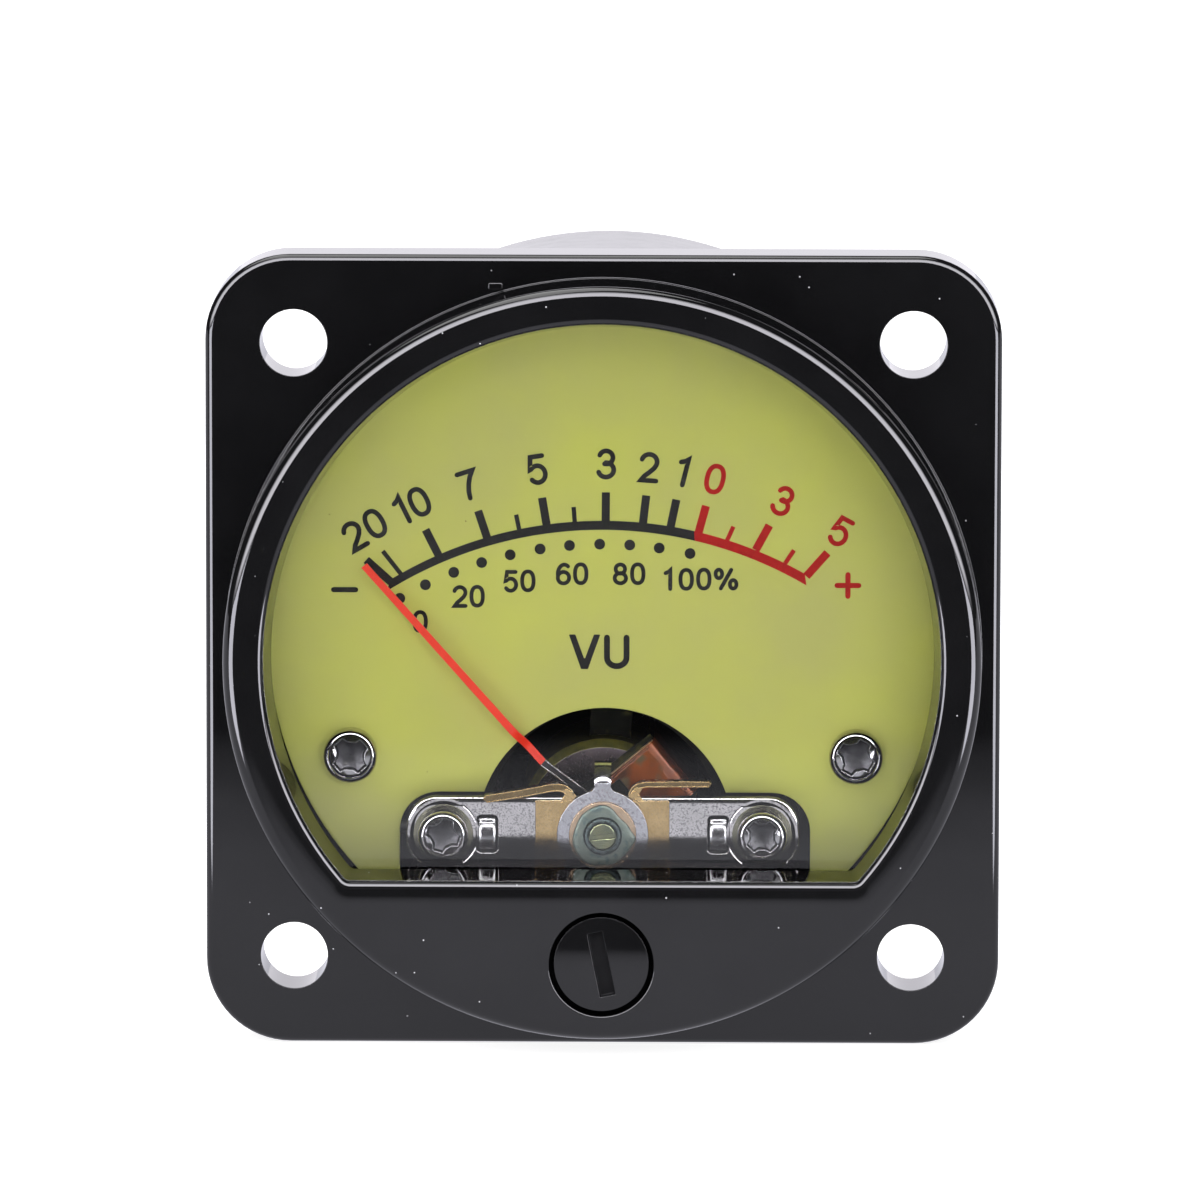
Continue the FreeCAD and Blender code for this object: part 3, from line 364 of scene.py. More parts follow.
def roundedPolygon(corners, radii, steps=8):
    # corners in order, either way round; every corner is rounded
    turn = windingSign(corners)
    if not isinstance(radii, (list, tuple)):
        radii = [radii] * len(corners)
    made = []
    for i, (x, z) in enumerate(corners):
        before, after = Vector(corners[i - 1]), Vector(corners[(i + 1) % len(corners)])
        here = Vector((x, z))
        inward, outward = (here - before).normalized(), (after - here).normalized()
        cross = (inward.x * outward.y - inward.y * outward.x) * turn
        angle = inward.angle(outward)
        start = here - inward * (radii[i] * math.tan(angle / 2))
        normalIn = Vector((inward.y, -inward.x)) * turn
        normalOut = Vector((outward.y, -outward.x)) * turn
        sign = 1 if cross > 0 else -1
        centre = start - normalIn * radii[i] * sign
        count = max(1, round(steps * angle / (math.pi / 2)))
        for k in range(count + 1):
            normal = normalIn.slerp(normalOut, k / count) if angle > 1e-3 else normalIn
            spot = centre + normal * radii[i] * sign
            made.append((spot.x, spot.y, normal.x, normal.y))
    return made


def roundedBox(x0, x1, z0, z1, radius, steps=8):
    return roundedPolygon([(x0, z0), (x1, z0), (x1, z1), (x0, z1)], radius, steps)


def chordOutline(radius, chord, corner=0.5, arcSteps=120, cornerSteps=6, chordSteps=1):
    # a disc cut off by a straight lower side, with rounded corners
    cz = chord + corner
    cx = math.sqrt((radius - corner) ** 2 - cz ** 2)
    rim = math.degrees(math.atan2(cx, cz))
    made = []
    for k in range(arcSteps + 1):
        angle = math.radians(-rim + 2 * rim * k / arcSteps)
        made.append((radius * math.sin(angle), radius * math.cos(angle), math.sin(angle),
                     math.cos(angle)))
    for side in (1, -1):
        for k in range(1, cornerSteps + 1):
            share = k / cornerSteps if side == 1 else 1 - (k - 1) / cornerSteps
            angle = math.radians(rim + (180 - rim) * share) * side
            nx, nz = math.sin(angle), math.cos(angle)
            made.append((side * cx + corner * nx, cz + corner * nz, nx, nz))
        if side == 1:
            made += [(cx - 2 * cx * k / chordSteps, chord, 0, -1) for k in range(1, chordSteps)]
    return made


def pathOutline(points):
    # closed line of many points; the normals are those of its neighbours
    turn = windingSign(points)
    made = []
    for i, (x, z) in enumerate(points):
        before, after = points[i - 1], points[(i + 1) % len(points)]
        along = Vector((x - before[0], z - before[1])).normalized()
        along += Vector((after[0] - x, after[1] - z)).normalized()
        if along.length < 1e-6:
            along = Vector((after[0] - x, after[1] - z))
        along.normalize()
        made.append((x, z, along.y * turn, -along.x * turn))
    return made


def ovalPoints(x, z, halfX, halfZ, fromAngle=0.0, toAngle=360.0, steps=40, power=2.0):
    # clockwise from the top; a power above 2 squares the oval a little
    made = []
    for k in range(steps + 1):
        angle = math.radians(fromAngle + (toAngle - fromAngle) * k / steps)
        s, c = math.sin(angle), math.cos(angle)
        made.append((x + halfX * math.copysign(abs(s) ** (2 / power), s),
                     z + halfZ * math.copysign(abs(c) ** (2 / power), c)))
    return made


def arcPoints(x, z, radius, fromAngle, toAngle, steps):
    return ovalPoints(x, z, radius, radius, fromAngle, toAngle, steps)


def turnOutline(outline, angle, x=0.0, z=0.0):
    c, s = math.cos(math.radians(angle)), math.sin(math.radians(angle))
    return [(x + (px - x) * c + (pz - z) * s, z - (px - x) * s + (pz - z) * c,
             nx * c + nz * s, -nx * s + nz * c) for px, pz, nx, nz in outline]


def stripOutline(path, half, capSteps=4):
    # a line of even width with round ends
    sides = []
    for i, (x, z) in enumerate(path):
        before, after = path[max(i - 1, 0)], path[min(i + 1, len(path) - 1)]
        a = Vector((x - before[0], z - before[1]))
        b = Vector((after[0] - x, after[1] - z))
        a = (a if a.length > 1e-9 else b).normalized()
        b = (b if b.length > 1e-9 else a).normalized()
        middle = (a + b).normalized()
        stretch = 1 / max(0.35, middle.dot(a))
        sides.append((Vector((x, z)), Vector((middle.y, -middle.x)), stretch, middle))
    made = []
    for end in (1, -1):
        for spot, normal, stretch, _ in sides[::end]:
            edge = spot + normal * (half * stretch * end)
            made.append((edge.x, edge.y, normal.x * end, normal.y * end))
        spot, normal, _, along = sides[::end][-1]
        for k in range(1, capSteps):
            angle = math.pi * k / capSteps
            out = normal * math.cos(angle) * end + along * math.sin(angle) * end
            made.append((spot.x + out.x * half, spot.y + out.y * half, out.x, out.y))
    return made


# solids
def plate(shell, outline, front, back, edge=0.0, holes=(), steps=3):
    # a flat piece between two y values, its edges rounded; a hole's normals point off it
    rim = rimProfile(edge, front, back, steps) if edge > 0 else [wallRun(0, front, back)]
    bore = holeProfile(edge, front, back, steps) if edge > 0 else [wallRun(0, front, back, -1)]
    rings = [sweep(shell, outline, rim)] + [sweep(shell, hole, bore) for hole in holes]
    fillCap(shell, [first for first, last in rings], -1)
    fillCap(shell, [last for first, last in rings], 1)


def lathe(shell, x, z, profile, count):
    first, last = sweep(shell, circle(0, x, z, count), profile)
    fillCap(shell, [first], -1)
    fillCap(shell, [last], 1)


def rod(shell, radius, front, back, x=0.0, z=0.0, edge=0.05, count=48):
    lathe(shell, x, z, rimProfile(edge, front, back, 3, radius), count)


def tube(shell, outer, inner, front, back, x=0.0, z=0.0, edge=0.03):
    plate(shell, circle(outer, x, z, 64), front, back, edge, [circle(inner, x, z, 64)])


def recessed(shell, well, outline, front, back, edge, recess, depth, lip):
    # a solid whose front has a sunk shape in it; the sunk walls and floor go into the well, which
    # the caller darkens as painted shade
    frontRing, backRing = sweep(shell, outline, [arcRun(-edge, front + edge, edge, -90, 0, 6),
                                                 wallRun(0, front + edge, back)])
    rim = sweep(shell, recess, [arcRun(lip, front + lip, lip, -90, -180, 3)])[0]
    floor = sweep(well, recess, [[(0, front + lip, -1, 0),
                                  (-depth * 0.12, front + depth, -1, 0)]])[1]
    fillCap(shell, [frontRing, rim], -1)
    fillCap(well, [floor], -1)
    fillCap(shell, [backRing], 1)


def ribbon(shell, stations):
    # stations: (x, y, z, half width, half thickness); the flat side faces -Y, the ends are closed
    rings = []
    for i, (x, y, z, half, thick) in enumerate(stations):
        before = Vector(stations[max(i - 1, 0)][:3])
        after = Vector(stations[min(i + 1, len(stations) - 1)][:3])
        along = (after - before).normalized()
        across = along.cross(Vector((0, 1, 0))).normalized()
        face = across.cross(along).normalized()
        soft = min(half, thick) * 0.45
        points, normals = [], []
        for sx, sy, start in ((1, 1, 0), (-1, 1, 90), (-1, -1, 180), (1, -1, 270)):
            for k in range(3):
                angle = math.radians(start + 45 * k)
                out, up = math.cos(angle), math.sin(angle)
                spot = Vector((x, y, z)) + across * (sx * (half - soft) + soft * out)
                spot += face * (sy * (thick - soft) + soft * up)
                points.append(tuple(spot))
                normals.append(tuple(across * out + face * up))
        rings.append((points, normals))
    first, last = skin(shell, [rings])
    for ring, end, other in ((first, 0, 1), (last, -1, -2)):
        normal = (Vector(stations[end][:3]) - Vector(stations[other][:3])).normalized()
        addFace(shell, ring, [tuple(normal)] * len(ring))


def nod(shell, amount, slope=0.0, level=0.0):
    # tips the front faces' normals up, and by a slope more for every millimetre above a level
    for i, (nx, ny, nz) in enumerate(shell["normals"]):
        if ny < -0.6:
            shell["normals"][i] = (nx, ny, nz + amount)
    if slope:
        corners = [corner for face in shell["faces"] for corner in face]
        for i, (nx, ny, nz) in enumerate(shell["normals"]):
            if ny < -0.98:
                rise = shell["points"][corners[i]][2] - level
                shell["normals"][i] = (nx, ny, nz + slope * rise)


def newObject(name, mesh):
    made = bpy.data.objects.new(name, mesh)
    bpy.context.scene.collection.objects.link(made)
    return made


def shellObject(name, shell):
    mesh = bpy.data.meshes.new(name)
    mesh.from_pydata([tuple(c * mm for c in p) for p in shell["points"]], [], shell["faces"])
    mesh.polygons.foreach_set("use_smooth", [True] * len(mesh.polygons))
    mesh.normals_split_custom_set([tuple(Vector(n).normalized()) for n in shell["normals"]])
    mesh.update()
    return newObject(name, mesh)


def settle(piece, body, replaces=()):
    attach(piece, body)
    if replaces:
        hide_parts(*replaces)


def makePiece(name, shell, look, body, replaces=()):
    piece = shellObject(name, shell)
    piece.data.materials.append(looks[look])
    settle(piece, body, replaces)


# geometry nodes: copies on points, spirals, coil turns and threads
def newTree(name, sockets):
    # sockets: a label, the kind of value and its default
    tree = bpy.data.node_groups.new(name, "GeometryNodeTree")
    tree.interface.new_socket("Geometry", in_out="INPUT", socket_type="NodeSocketGeometry")
    for label, kind, value in sockets + [("Material", "Material", None)]:
        socket = tree.interface.new_socket(label, in_out="INPUT", socket_type="NodeSocket" + kind)
        if value is not None:
            socket.default_value = value
    tree.interface.new_socket("Geometry", in_out="OUTPUT", socket_type="NodeSocketGeometry")
    return tree, tree.nodes.new("NodeGroupInput").outputs


def closeTree(tree, geometry, source):
    whole = put(tree, "GeometryNodeRealizeInstances", {0: geometry}).outputs[0]
    dressed = put(tree, "GeometryNodeSetMaterial", {"Geometry": whole,
                                                    "Material": source["Material"]})
    put(tree, "NodeGroupOutput", {0: dressed.outputs[0]})
    return tree


def sweptWire(tree, line, section, **more):
    return put(tree, "GeometryNodeCurveToMesh", {"Curve": line, "Profile Curve": section.outputs[0],
                                                 **more}).outputs[0]


def copiesTree():
    # one copy of a shape on every point, turned about Y and scaled by the point's own values
    tree, source = newTree("copiesOnPoints", [("Copy", "Object", None)])
    shape = put(tree, "GeometryNodeObjectInfo", {"Object": source["Copy"]}).outputs["Geometry"]
    turn, size = (put(tree, "GeometryNodeInputNamedAttribute", {"Name": name},
                      data_type=kind).outputs["Attribute"]
                  for name, kind in (("turn", "FLOAT"), ("size", "FLOAT_VECTOR")))
    rotation = put(tree, "ShaderNodeCombineXYZ", {"Y": turn}).outputs[0]
    placed = put(tree, "GeometryNodeInstanceOnPoints", {
        "Points": source["Geometry"], "Instance": shape, "Rotation": rotation, "Scale": size})
    return closeTree(tree, placed.outputs[0], source)


def spiralTree():
    # a flat strip wound outwards
    tree, source = newTree("flatSpiral", [
        ("Turns", "Float", 4.0), ("Inner", "Float", 0.001), ("Outer", "Float", 0.002),
        ("Strip", "Float", 0.0001), ("Width", "Float", 0.0003), ("Steps", "Int", 128)])
    line = put(tree, "GeometryNodeCurveSpiral", {
        "Resolution": source["Steps"], "Rotations": source["Turns"],
        "Start Radius": source["Inner"], "End Radius": source["Outer"], "Height": 0.0})
    across = put(tree, "GeometryNodeCurvePrimitiveQuadrilateral", {
        "Width": source["Width"], "Height": source["Strip"]})
    swept = sweptWire(tree, line.outputs[0], across, **{"Fill Caps": True})
    return closeTree(tree, swept, source)


def windingTree():
    # loops of wire side by side round a frame
    tree, source = newTree("wireLoops", [
        ("Length", "Float", 0.01), ("Height", "Float", 0.01), ("Corner", "Float", 0.0005),
        ("Pitch", "Float", 0.0001), ("Turns", "Int", 20), ("Wire", "Float", 0.0001)])
    loop = put(tree, "GeometryNodeCurvePrimitiveQuadrilateral", {
        "Width": source["Length"], "Height": source["Height"]}).outputs[0]
    bent = put(tree, "GeometryNodeFilletCurve", {
        "Curve": loop, "Radius": source["Corner"], "Count": 5}, mode="POLY").outputs[0]
    section = put(tree, "GeometryNodeCurvePrimitiveCircle",
                  {"Resolution": 8, "Radius": source["Wire"]})
    wire = sweptWire(tree, bent, section)
    rounded = put(tree, "GeometryNodeSetShadeSmooth", {"Geometry": wire}).outputs[0]
    step = put(tree, "ShaderNodeCombineXYZ", {"Z": source["Pitch"]}).outputs[0]
    line = put(tree, "GeometryNodeMeshLine", {"Count": source["Turns"], "Offset": step}).outputs[0]
    placed = put(tree, "GeometryNodeInstanceOnPoints", {"Points": line, "Instance": rounded})
    return closeTree(tree, placed.outputs[0], source)


def threadTree():
    # a ridge that climbs round a shank
    tree, source = newTree("screwThread", [
        ("Turns", "Float", 10.0), ("Radius", "Float", 0.001), ("Length", "Float", 0.01),
        ("Ridge", "Float", 0.0002), ("Steps", "Int", 24)])
    climb = put(tree, "GeometryNodeCurveSpiral", {"Resolution": source["Steps"],
                                                  "Rotations": source["Turns"],
                                                  "Start Radius": source["Radius"],
                                                  "End Radius": source["Radius"],
                                                  "Height": source["Length"]})
    section = put(tree, "GeometryNodeCurvePrimitiveCircle",
                  {"Resolution": 4, "Radius": source["Ridge"]})
    ridge = sweptWire(tree, climb.outputs[0], section, **{"Fill Caps": True})
    # the spiral climbs along Z, and the shank lies along Y
    placed = put(tree, "GeometryNodeInstanceOnPoints", {
        "Points": source["Geometry"], "Instance": ridge, "Rotation": (math.pi / 2, 0, 0)})
    return closeTree(tree, placed.outputs[0], source)


trees = {"copies": copiesTree(), "spiral": spiralTree(), "winding": windingTree(),
         "thread": threadTree()}


def runTree(treeName, name, points, values, turns=None, sizes=None, matrix=None):
    # runs a tree on a host of bare points and keeps the result as a plain mesh
    mesh = bpy.data.meshes.new(name + "Host")
    mesh.from_pydata([tuple(c * mm for c in p) for p in points], [], [])
    if turns is not None:
        radians = [math.radians(t) for t in turns]
        flat = [c for size in (sizes or [(1, 1, 1)] * len(points)) for c in size]
        mesh.attributes.new("turn", "FLOAT", "POINT").data.foreach_set("value", radians)
        mesh.attributes.new("size", "FLOAT_VECTOR", "POINT").data.foreach_set("vector", flat)
    host = newObject(name + "Host", mesh)
    modifier = host.modifiers.new("build", "NODES")
    modifier.node_group = trees[treeName]
    for item in trees[treeName].interface.items_tree:
        if item.in_out == "INPUT" and item.name in values:
            modifier[item.identifier] = values[item.name]
    graph = bpy.context.evaluated_depsgraph_get()
    made = bpy.data.meshes.new_from_object(host.evaluated_get(graph))
    bpy.data.objects.remove(host)
    made.name = name
    if matrix is not None:
        made.transform(matrix)
    for attribute in ("turn", "size"):
        if attribute in made.attributes:
            made.attributes.remove(made.attributes[attribute])
    return newObject(name, made)


def copies(name, shape, look, body, points, turns, sizes=None, replaces=()):
    # the pattern is a shape that only the tree reads
    pattern = shellObject(name + "Pattern", shape)
    piece = runTree("copies", name, points, {"Copy": pattern, "Material": looks[look]}, turns,
                    sizes)
    bpy.data.objects.remove(pattern)
    settle(piece, body, replaces)


print("builders ready")

# front bezel: flange, ring, window and adjuster recess in one moulding
# places that the housing shares with the terminals and the rear screws
fixings = {"studX": 8.0, "studZ": 6.0, "screwX": 9.5, "screwZ": -15.0}

bezel = {
    "half": 22.5, "corner": 4.8, "flangeFront": -4.2, "flangeEdge": 0.45, "rearEdge": 0.2,
    "ringBase": 21.42, "ringTop": 21.36, "ringFront": -9.0, "ringEdge": 0.68, "baseFillet": 0.05,
    "ringZ": -0.18,
    # the flat beside the window: distance from it and lean of the surface's normal
    "lip": ((1.4, 0.0), (1.0, -0.03)), "lipLean": -0.07,
    "window": 18.7, "windowFlare": 0.35, "windowEdge": 0.4, "floor": -12.5, "floorRear": -12.2,
    "windowCorner": 0.5, "shoulder": -6.22, "chamber": 19.2, "spigot": 19.9, "spigotEnd": 3.0,
    "seat": 20.7, "seatDepth": 0.5, "holePitch": 35.0, "hole": 1.9, "holeEdge": 0.035,
    "floorSteps": 60, "recess": 2.95, "recessSeat": -7.75, "seatFall": -6.9, "recessEdge": 0.09,
    "bore": 1.5, "post": 1.6, "postBore": 1.0,
    # the trimmed gate: place, half size, and how far it stands out
    "gate": (-6.1, 20.75, 0.42, 0.2, 0.16),
}


def windowRing(offset, radius, y, out, forward):
    # the opening at one depth; its straight lower side rises towards the lens
    b = bezel
    share = min(1, max(0, (y - b["ringFront"]) / (b["shoulder"] - b["ringFront"])))
    chord = b["floor"] + (b["floorRear"] - b["floor"]) * share
    outline = chordOutline(radius, chord, b["windowCorner"], 120, 8, b["floorSteps"])
    return offsetRing(outline, offset, y, out, forward)


def frontBezel():
    b = bezel
    shell = newShell()
    outer = roundedBox(-b["half"], b["half"], -b["half"], b["half"], b["corner"], 16)
    f, e, r = b["flangeFront"], b["flangeEdge"], b["rearEdge"]
    flangeRing, flangeBack = sweep(shell, outer, [
        arcRun(-e, f + e, e, -90, 0, 8), wallRun(0, f + e, -r), arcRun(-r, -r, r, 0, 90, 4)])
    fronts, backs = [flangeRing], [flangeBack]
    for x in (-1, 1):
        for z in (-1, 1):
            hole = circle(b["hole"], x * b["holePitch"] / 2, z * b["holePitch"] / 2, 64)
            first, last = sweep(shell, hole, holeProfile(b["holeEdge"], f, 0, 4))
            fronts.append(first)
            backs.append(last)
    # ring: a small hollow at its foot, a drafted wall and a rounded front edge
    base, top, edge, hollow = b["ringBase"], b["ringTop"], b["ringEdge"], b["baseFillet"]
    ringFront, shoulder = b["ringFront"], b["shoulder"]
    foot, ringRing = sweep(shell, circle(0, z=b["ringZ"], count=192), [
        arcRun(base + hollow, f - hollow, hollow, 90, 180, 4, side=-1),
        [(base, f - hollow, 1, 0), (top, ringFront + edge, 1, 0)],
        arcRun(top - edge, ringFront + edge, edge, 0, -90, 10)])
    fronts.append(foot)
    fillCap(shell, fronts, -1)
    # window
    we, mouth, flare = b["windowEdge"], b["window"] + b["windowFlare"], b["windowFlare"]
    lipRings = [windowRing(offset, mouth, ringFront, out, -1)
                for offset, out in (*b["lip"], (we, b["lipLean"]))]
    edgeRings = []
    for k in range(9):
        a = math.radians(-90 - 90 * k / 8)
        edgeRings.append(windowRing(we + we * math.cos(a), mouth, ringFront + we + we * math.sin(a),
                                    math.cos(a), math.sin(a)))
    wallLength = shoulder - ringFront - we
    draft = (b["floorRear"] - b["floor"]) / (shoulder - ringFront)
    wallRings = [windowRing(0, mouth - flare * k / 4, ringFront + we + wallLength * k / 4, -1,
                            -draft) for k in range(5)]
    windowFront, windowBack = skin(shell, [lipRings, edgeRings, wallRings])
    # adjuster recess and its bore
    recess, seatY, soft = b["recess"], b["recessSeat"], b["recessEdge"]
    recessFront, boreBack = sweep(shell, circle(0, 0, adjusterZ, 64), [
        arcRun(recess + soft, ringFront + soft, soft, -90, -180, 4),
        wallRun(recess, ringFront + soft, seatY, -1),
        # the seat falls away inwards, so the gap round the head stays black
        [(recess, seatY, -0.8, -0.6), (b["bore"], b["seatFall"], -0.8, -0.6)],
        wallRun(b["bore"], b["seatFall"], shoulder, -1)])
    fillCap(shell, [ringRing, windowFront, recessFront], -1)
    # chamber, spigot and the seat for the rear case
    seatY, end = -b["seatDepth"], b["spigotEnd"]
    seat, chamberFront = sweep(shell, circle(0, count=160), [
        wallRun(b["seat"], 0, seatY, -1), stepRun(b["seat"], b["spigot"], seatY, 1),
        wallRun(b["spigot"], seatY, end), stepRun(b["spigot"], b["chamber"], end, 1),
        wallRun(b["chamber"], end, shoulder, -1)])
    fillCap(shell, [chamberFront, windowBack, boreBack], 1)
    backs.append(seat)
    fillCap(shell, backs, 1)
    for side in (-1, 1):
        x, z = side * fixings["screwX"], fixings["screwZ"]
        plate(shell, circle(b["post"], x, z, 32), shoulder - 0.2, end, 0,
              [circle(b["postBore"], x, z, 32)])
    # the trimmed gate beside the ring's foot
    x, z, halfX, halfZ, high = b["gate"]
    gate = roundedBox(x - halfX, x + halfX, z - halfZ, z + halfZ, 0.12, 3)
    plate(shell, gate, f - high, f + 0.1, 0.07)
    makePiece("frontBezel", shell, "blackPlastic", "case", ["front_bezel"])


frontBezel()


# lens
lens = {"radius": 19.15, "chord": -13.3, "front": -6.2, "back": -4.7, "edge": 0.12}


def windowLens():
    shell = newShell()
    plate(shell, chordOutline(lens["radius"], lens["chord"]), lens["front"], lens["back"],
          lens["edge"])
    makePiece("windowLens", shell, "clearLens", "case", ["window_lens"])


windowLens()


# rear case
can = {"radius": 21.0, "mouthRadius": 20.6, "wall": 1.0, "mouth": -0.5, "back": 25.8,
       "inside": 24.6, "rim": 0.8, "studHole": 1.6, "screwHole": 1.15, "holeEdge": 0.08,
       "post": 1.6, "postFront": 3.0,
       # the signs beside the terminals: place, the half sizes of their bars, and their height
       "signs": ((13.6, ((0.9, 0.18), (0.18, 0.9))), (-13.6, ((0.9, 0.18),))), "signZ": 6,
       "signRise": 0.14}


def rearCase():
    c, f = can, fixings
    shell = newShell()
    mouthRadius, radius, rim = c["mouthRadius"], c["radius"], c["rim"]
    outerMouth, outerBack = sweep(shell, circle(0, count=160), [
        wallRun(mouthRadius, c["mouth"], 0), stepRun(mouthRadius, radius, 0, -1),
        wallRun(radius, 0, c["back"] - rim), arcRun(radius - rim, c["back"] - rim, rim, 0, 90, 8)])
    innerMouth, innerBack = sweep(shell, circle(0, count=160), [
        wallRun(radius - c["wall"], c["mouth"], c["inside"], -1)])
    fillCap(shell, [outerMouth, innerMouth], -1)
    backs, insides, edge = [outerBack], [innerBack], c["holeEdge"]
    for x, z, hole in ((f["studX"], f["studZ"], c["studHole"]),
                       (f["screwX"], f["screwZ"], c["screwHole"])):
        for side in (-1, 1):
            first, last = sweep(shell, circle(0, side * x, z, 40), [
                wallRun(hole, c["inside"], c["back"] - edge, -1),
                arcRun(hole + edge, c["back"] - edge, edge, 180, 90, 3)])
            insides.append(first)
            backs.append(last)
    fillCap(shell, backs, 1)
    fillCap(shell, insides, -1)
    for side in (-1, 1):
        x, z = side * f["screwX"], f["screwZ"]
        plate(shell, circle(c["post"], x, z, 32), c["postFront"], c["inside"] + 0.2, 0,
              [circle(c["screwHole"], x, z, 32)])
    # raised plus and minus beside the terminals
    z = c["signZ"]
    for x, bars in c["signs"]:
        for level, (halfX, halfZ) in enumerate(bars):
            plate(shell, roundedBox(x - halfX, x + halfX, z - halfZ, z + halfZ, 0.08, 3),
                  c["back"] - 0.1, c["back"] + c["signRise"] + 0.01 * level, 0.05)
    makePiece("rearCase", shell, "casePlastic", "case", ["rear_case"])


rearCase()
print("housing made")


# dial plate and its print
dial = {"radius": 19.0, "chord": -13.3, "front": -1.7, "back": -1.2, "cutX": 0.1, "cutZ": -10.9,
        "cut": 7.3, "slotHalf": 11.68, "slotTop": -8.45, "slotCorner": 2.2, "print": 0.02}


def dialPlate():
    d = dial
    points = []
    rim = math.degrees(math.acos(d["chord"] / d["radius"]))
    points += arcPoints(0, 0, d["radius"], -rim, rim, 120)
    right, left = d["cutX"] + d["slotHalf"], d["cutX"] - d["slotHalf"]
    top, corner = d["slotTop"], d["slotCorner"]
    points += [(right, d["chord"])]
    points += arcPoints(right - corner, top - corner, corner, 90, 0, 10)
    half = math.degrees(math.acos((top - d["cutZ"]) / d["cut"]))
    points += arcPoints(d["cutX"], d["cutZ"], d["cut"], half, -half, 60)
    points += arcPoints(left + corner, top - corner, corner, 0, -90, 10)
    points += [(left, d["chord"])]
    shell = newShell()
    plate(shell, pathOutline(points), d["front"], d["back"], 0.04)
    makePiece("dialPlate", shell, "dialPaint", "case", ["dial_plate"])


dialPlate()

scale = {
    # ticks: base, tip and width; the last word is the ink
    "ticks": [((-12.05, 3.56), (-13.48, 4.84), 0.465, "black"),
              ((-11.51, 4.04), (-12.54, 5.35), 0.255, "black"),
              ((-9.37, 5.11), (-10.11, 6.58), 0.465, "black"),
              ((-6.62, 6.14), (-7.13, 7.67), 0.465, "black"),
              ((-4.80, 6.62), (-4.97, 7.46), 0.255, "black"),
              ((-3.24, 6.88), (-3.50, 8.43), 0.465, "black"),
              ((-1.64, 7.00), (-1.71, 7.91), 0.255, "black"),
              ((0.11, 7.04), (0.12, 8.75), 0.465, "black"),
              ((2.22, 6.94), (2.41, 8.58), 0.465, "black"),
              ((3.78, 6.72), (4.12, 8.35), 0.465, "black"),
              ((5.35, 6.34), (5.80, 8.00), 0.465, "red"),
              ((7.00, 6.02), (7.36, 6.82), 0.255, "red"),
              ((8.63, 5.48), (9.40, 6.90), 0.465, "red"),
              ((10.30, 4.72), (10.80, 5.48), 0.255, "red"),
              ((11.51, 3.99), (12.70, 5.34), 0.465, "red")],
    "dots": {"x": 0.04, "z": -17.23, "radius": 23.02, "size": 0.31,
             "angles": [-30.3, -26.19, -21.8, -17.61, -13.43, -9.11, -4.93, -0.66, 3.59, 7.77,
                        12.2]},
    "bandOuter": (0.01, -16.11, 23.235), "bandInner": (-0.06, -16.31, 22.915),
    "bandEnds": (-12.16, 11.42),
    "bandSteps": 60, "bandSpread": 1 + 0.1 / 12,
    "inkChange": 5.13,
    # numerals: glyph, centre, turn and ink; the lower row stands upright in black
    "upper": [("2", -14.16, 6.21, -30, "black"), ("0", -12.99, 6.92, -30, "black"),
              ("1", -11.43, 7.69, -26.5, "black"), ("0", -10.47, 8.17, -26.5, "black"),
              ("7", -7.68, 9.14, -18, "black"), ("5", -3.78, 10.04, -9, "black"),
              ("3", 0.14, 10.37, 0, "black"), ("2", 2.56, 10.18, 4, "black"),
              ("1", 4.53, 9.93, 14, "black"), ("0", 6.31, 9.53, 13, "red"),
              ("3", 10.16, 8.29, 23, "red"), ("5", 13.44, 6.55, 28, "red")],
    "upperHeight": 1.77, "upperStroke": 0.275,
    "lower": [("0", -10.42, 1.32), ("2", -8.16, 2.76), ("0", -7.18, 2.78), ("5", -5.27, 3.64),
              ("0", -4.30, 3.67), ("6", -2.28, 4.07), ("0", -1.30, 4.09), ("8", 0.95, 4.09),
              ("0", 1.94, 4.10), ("1", 3.71, 3.77), ("0", 4.69, 3.79), ("0", 5.69, 3.81),
              ("%", 6.95, 3.81)],
    "lowerHeight": 1.30, "lowerStroke": 0.225,
    # the unit: its first letter by its corners, its second by the ends of its stems and its oval
    "unitV": [(-1.97, 0.61), (-1.60, 0.61), (-1.075, -0.83), (-0.54, 0.61), (-0.18, 0.61),
              (-0.88, -1.37), (-1.27, -1.37)],
    "unitU": ((0.20, 1.31), (0.44, -0.66), (0.755, -0.70, 0.555, 0.50)), "unitStroke": 0.34,
    # the signs at the ends of the scale
    "signStroke": 0.30,
    "signs": (("black", [(-15.34, 3.13), (-14.08, 3.13)], 0),
              ("red", [(13.25, 3.47), (14.49, 3.47)], 0),
              ("red", [(13.87, 2.85), (13.87, 4.09)], 1)),
}


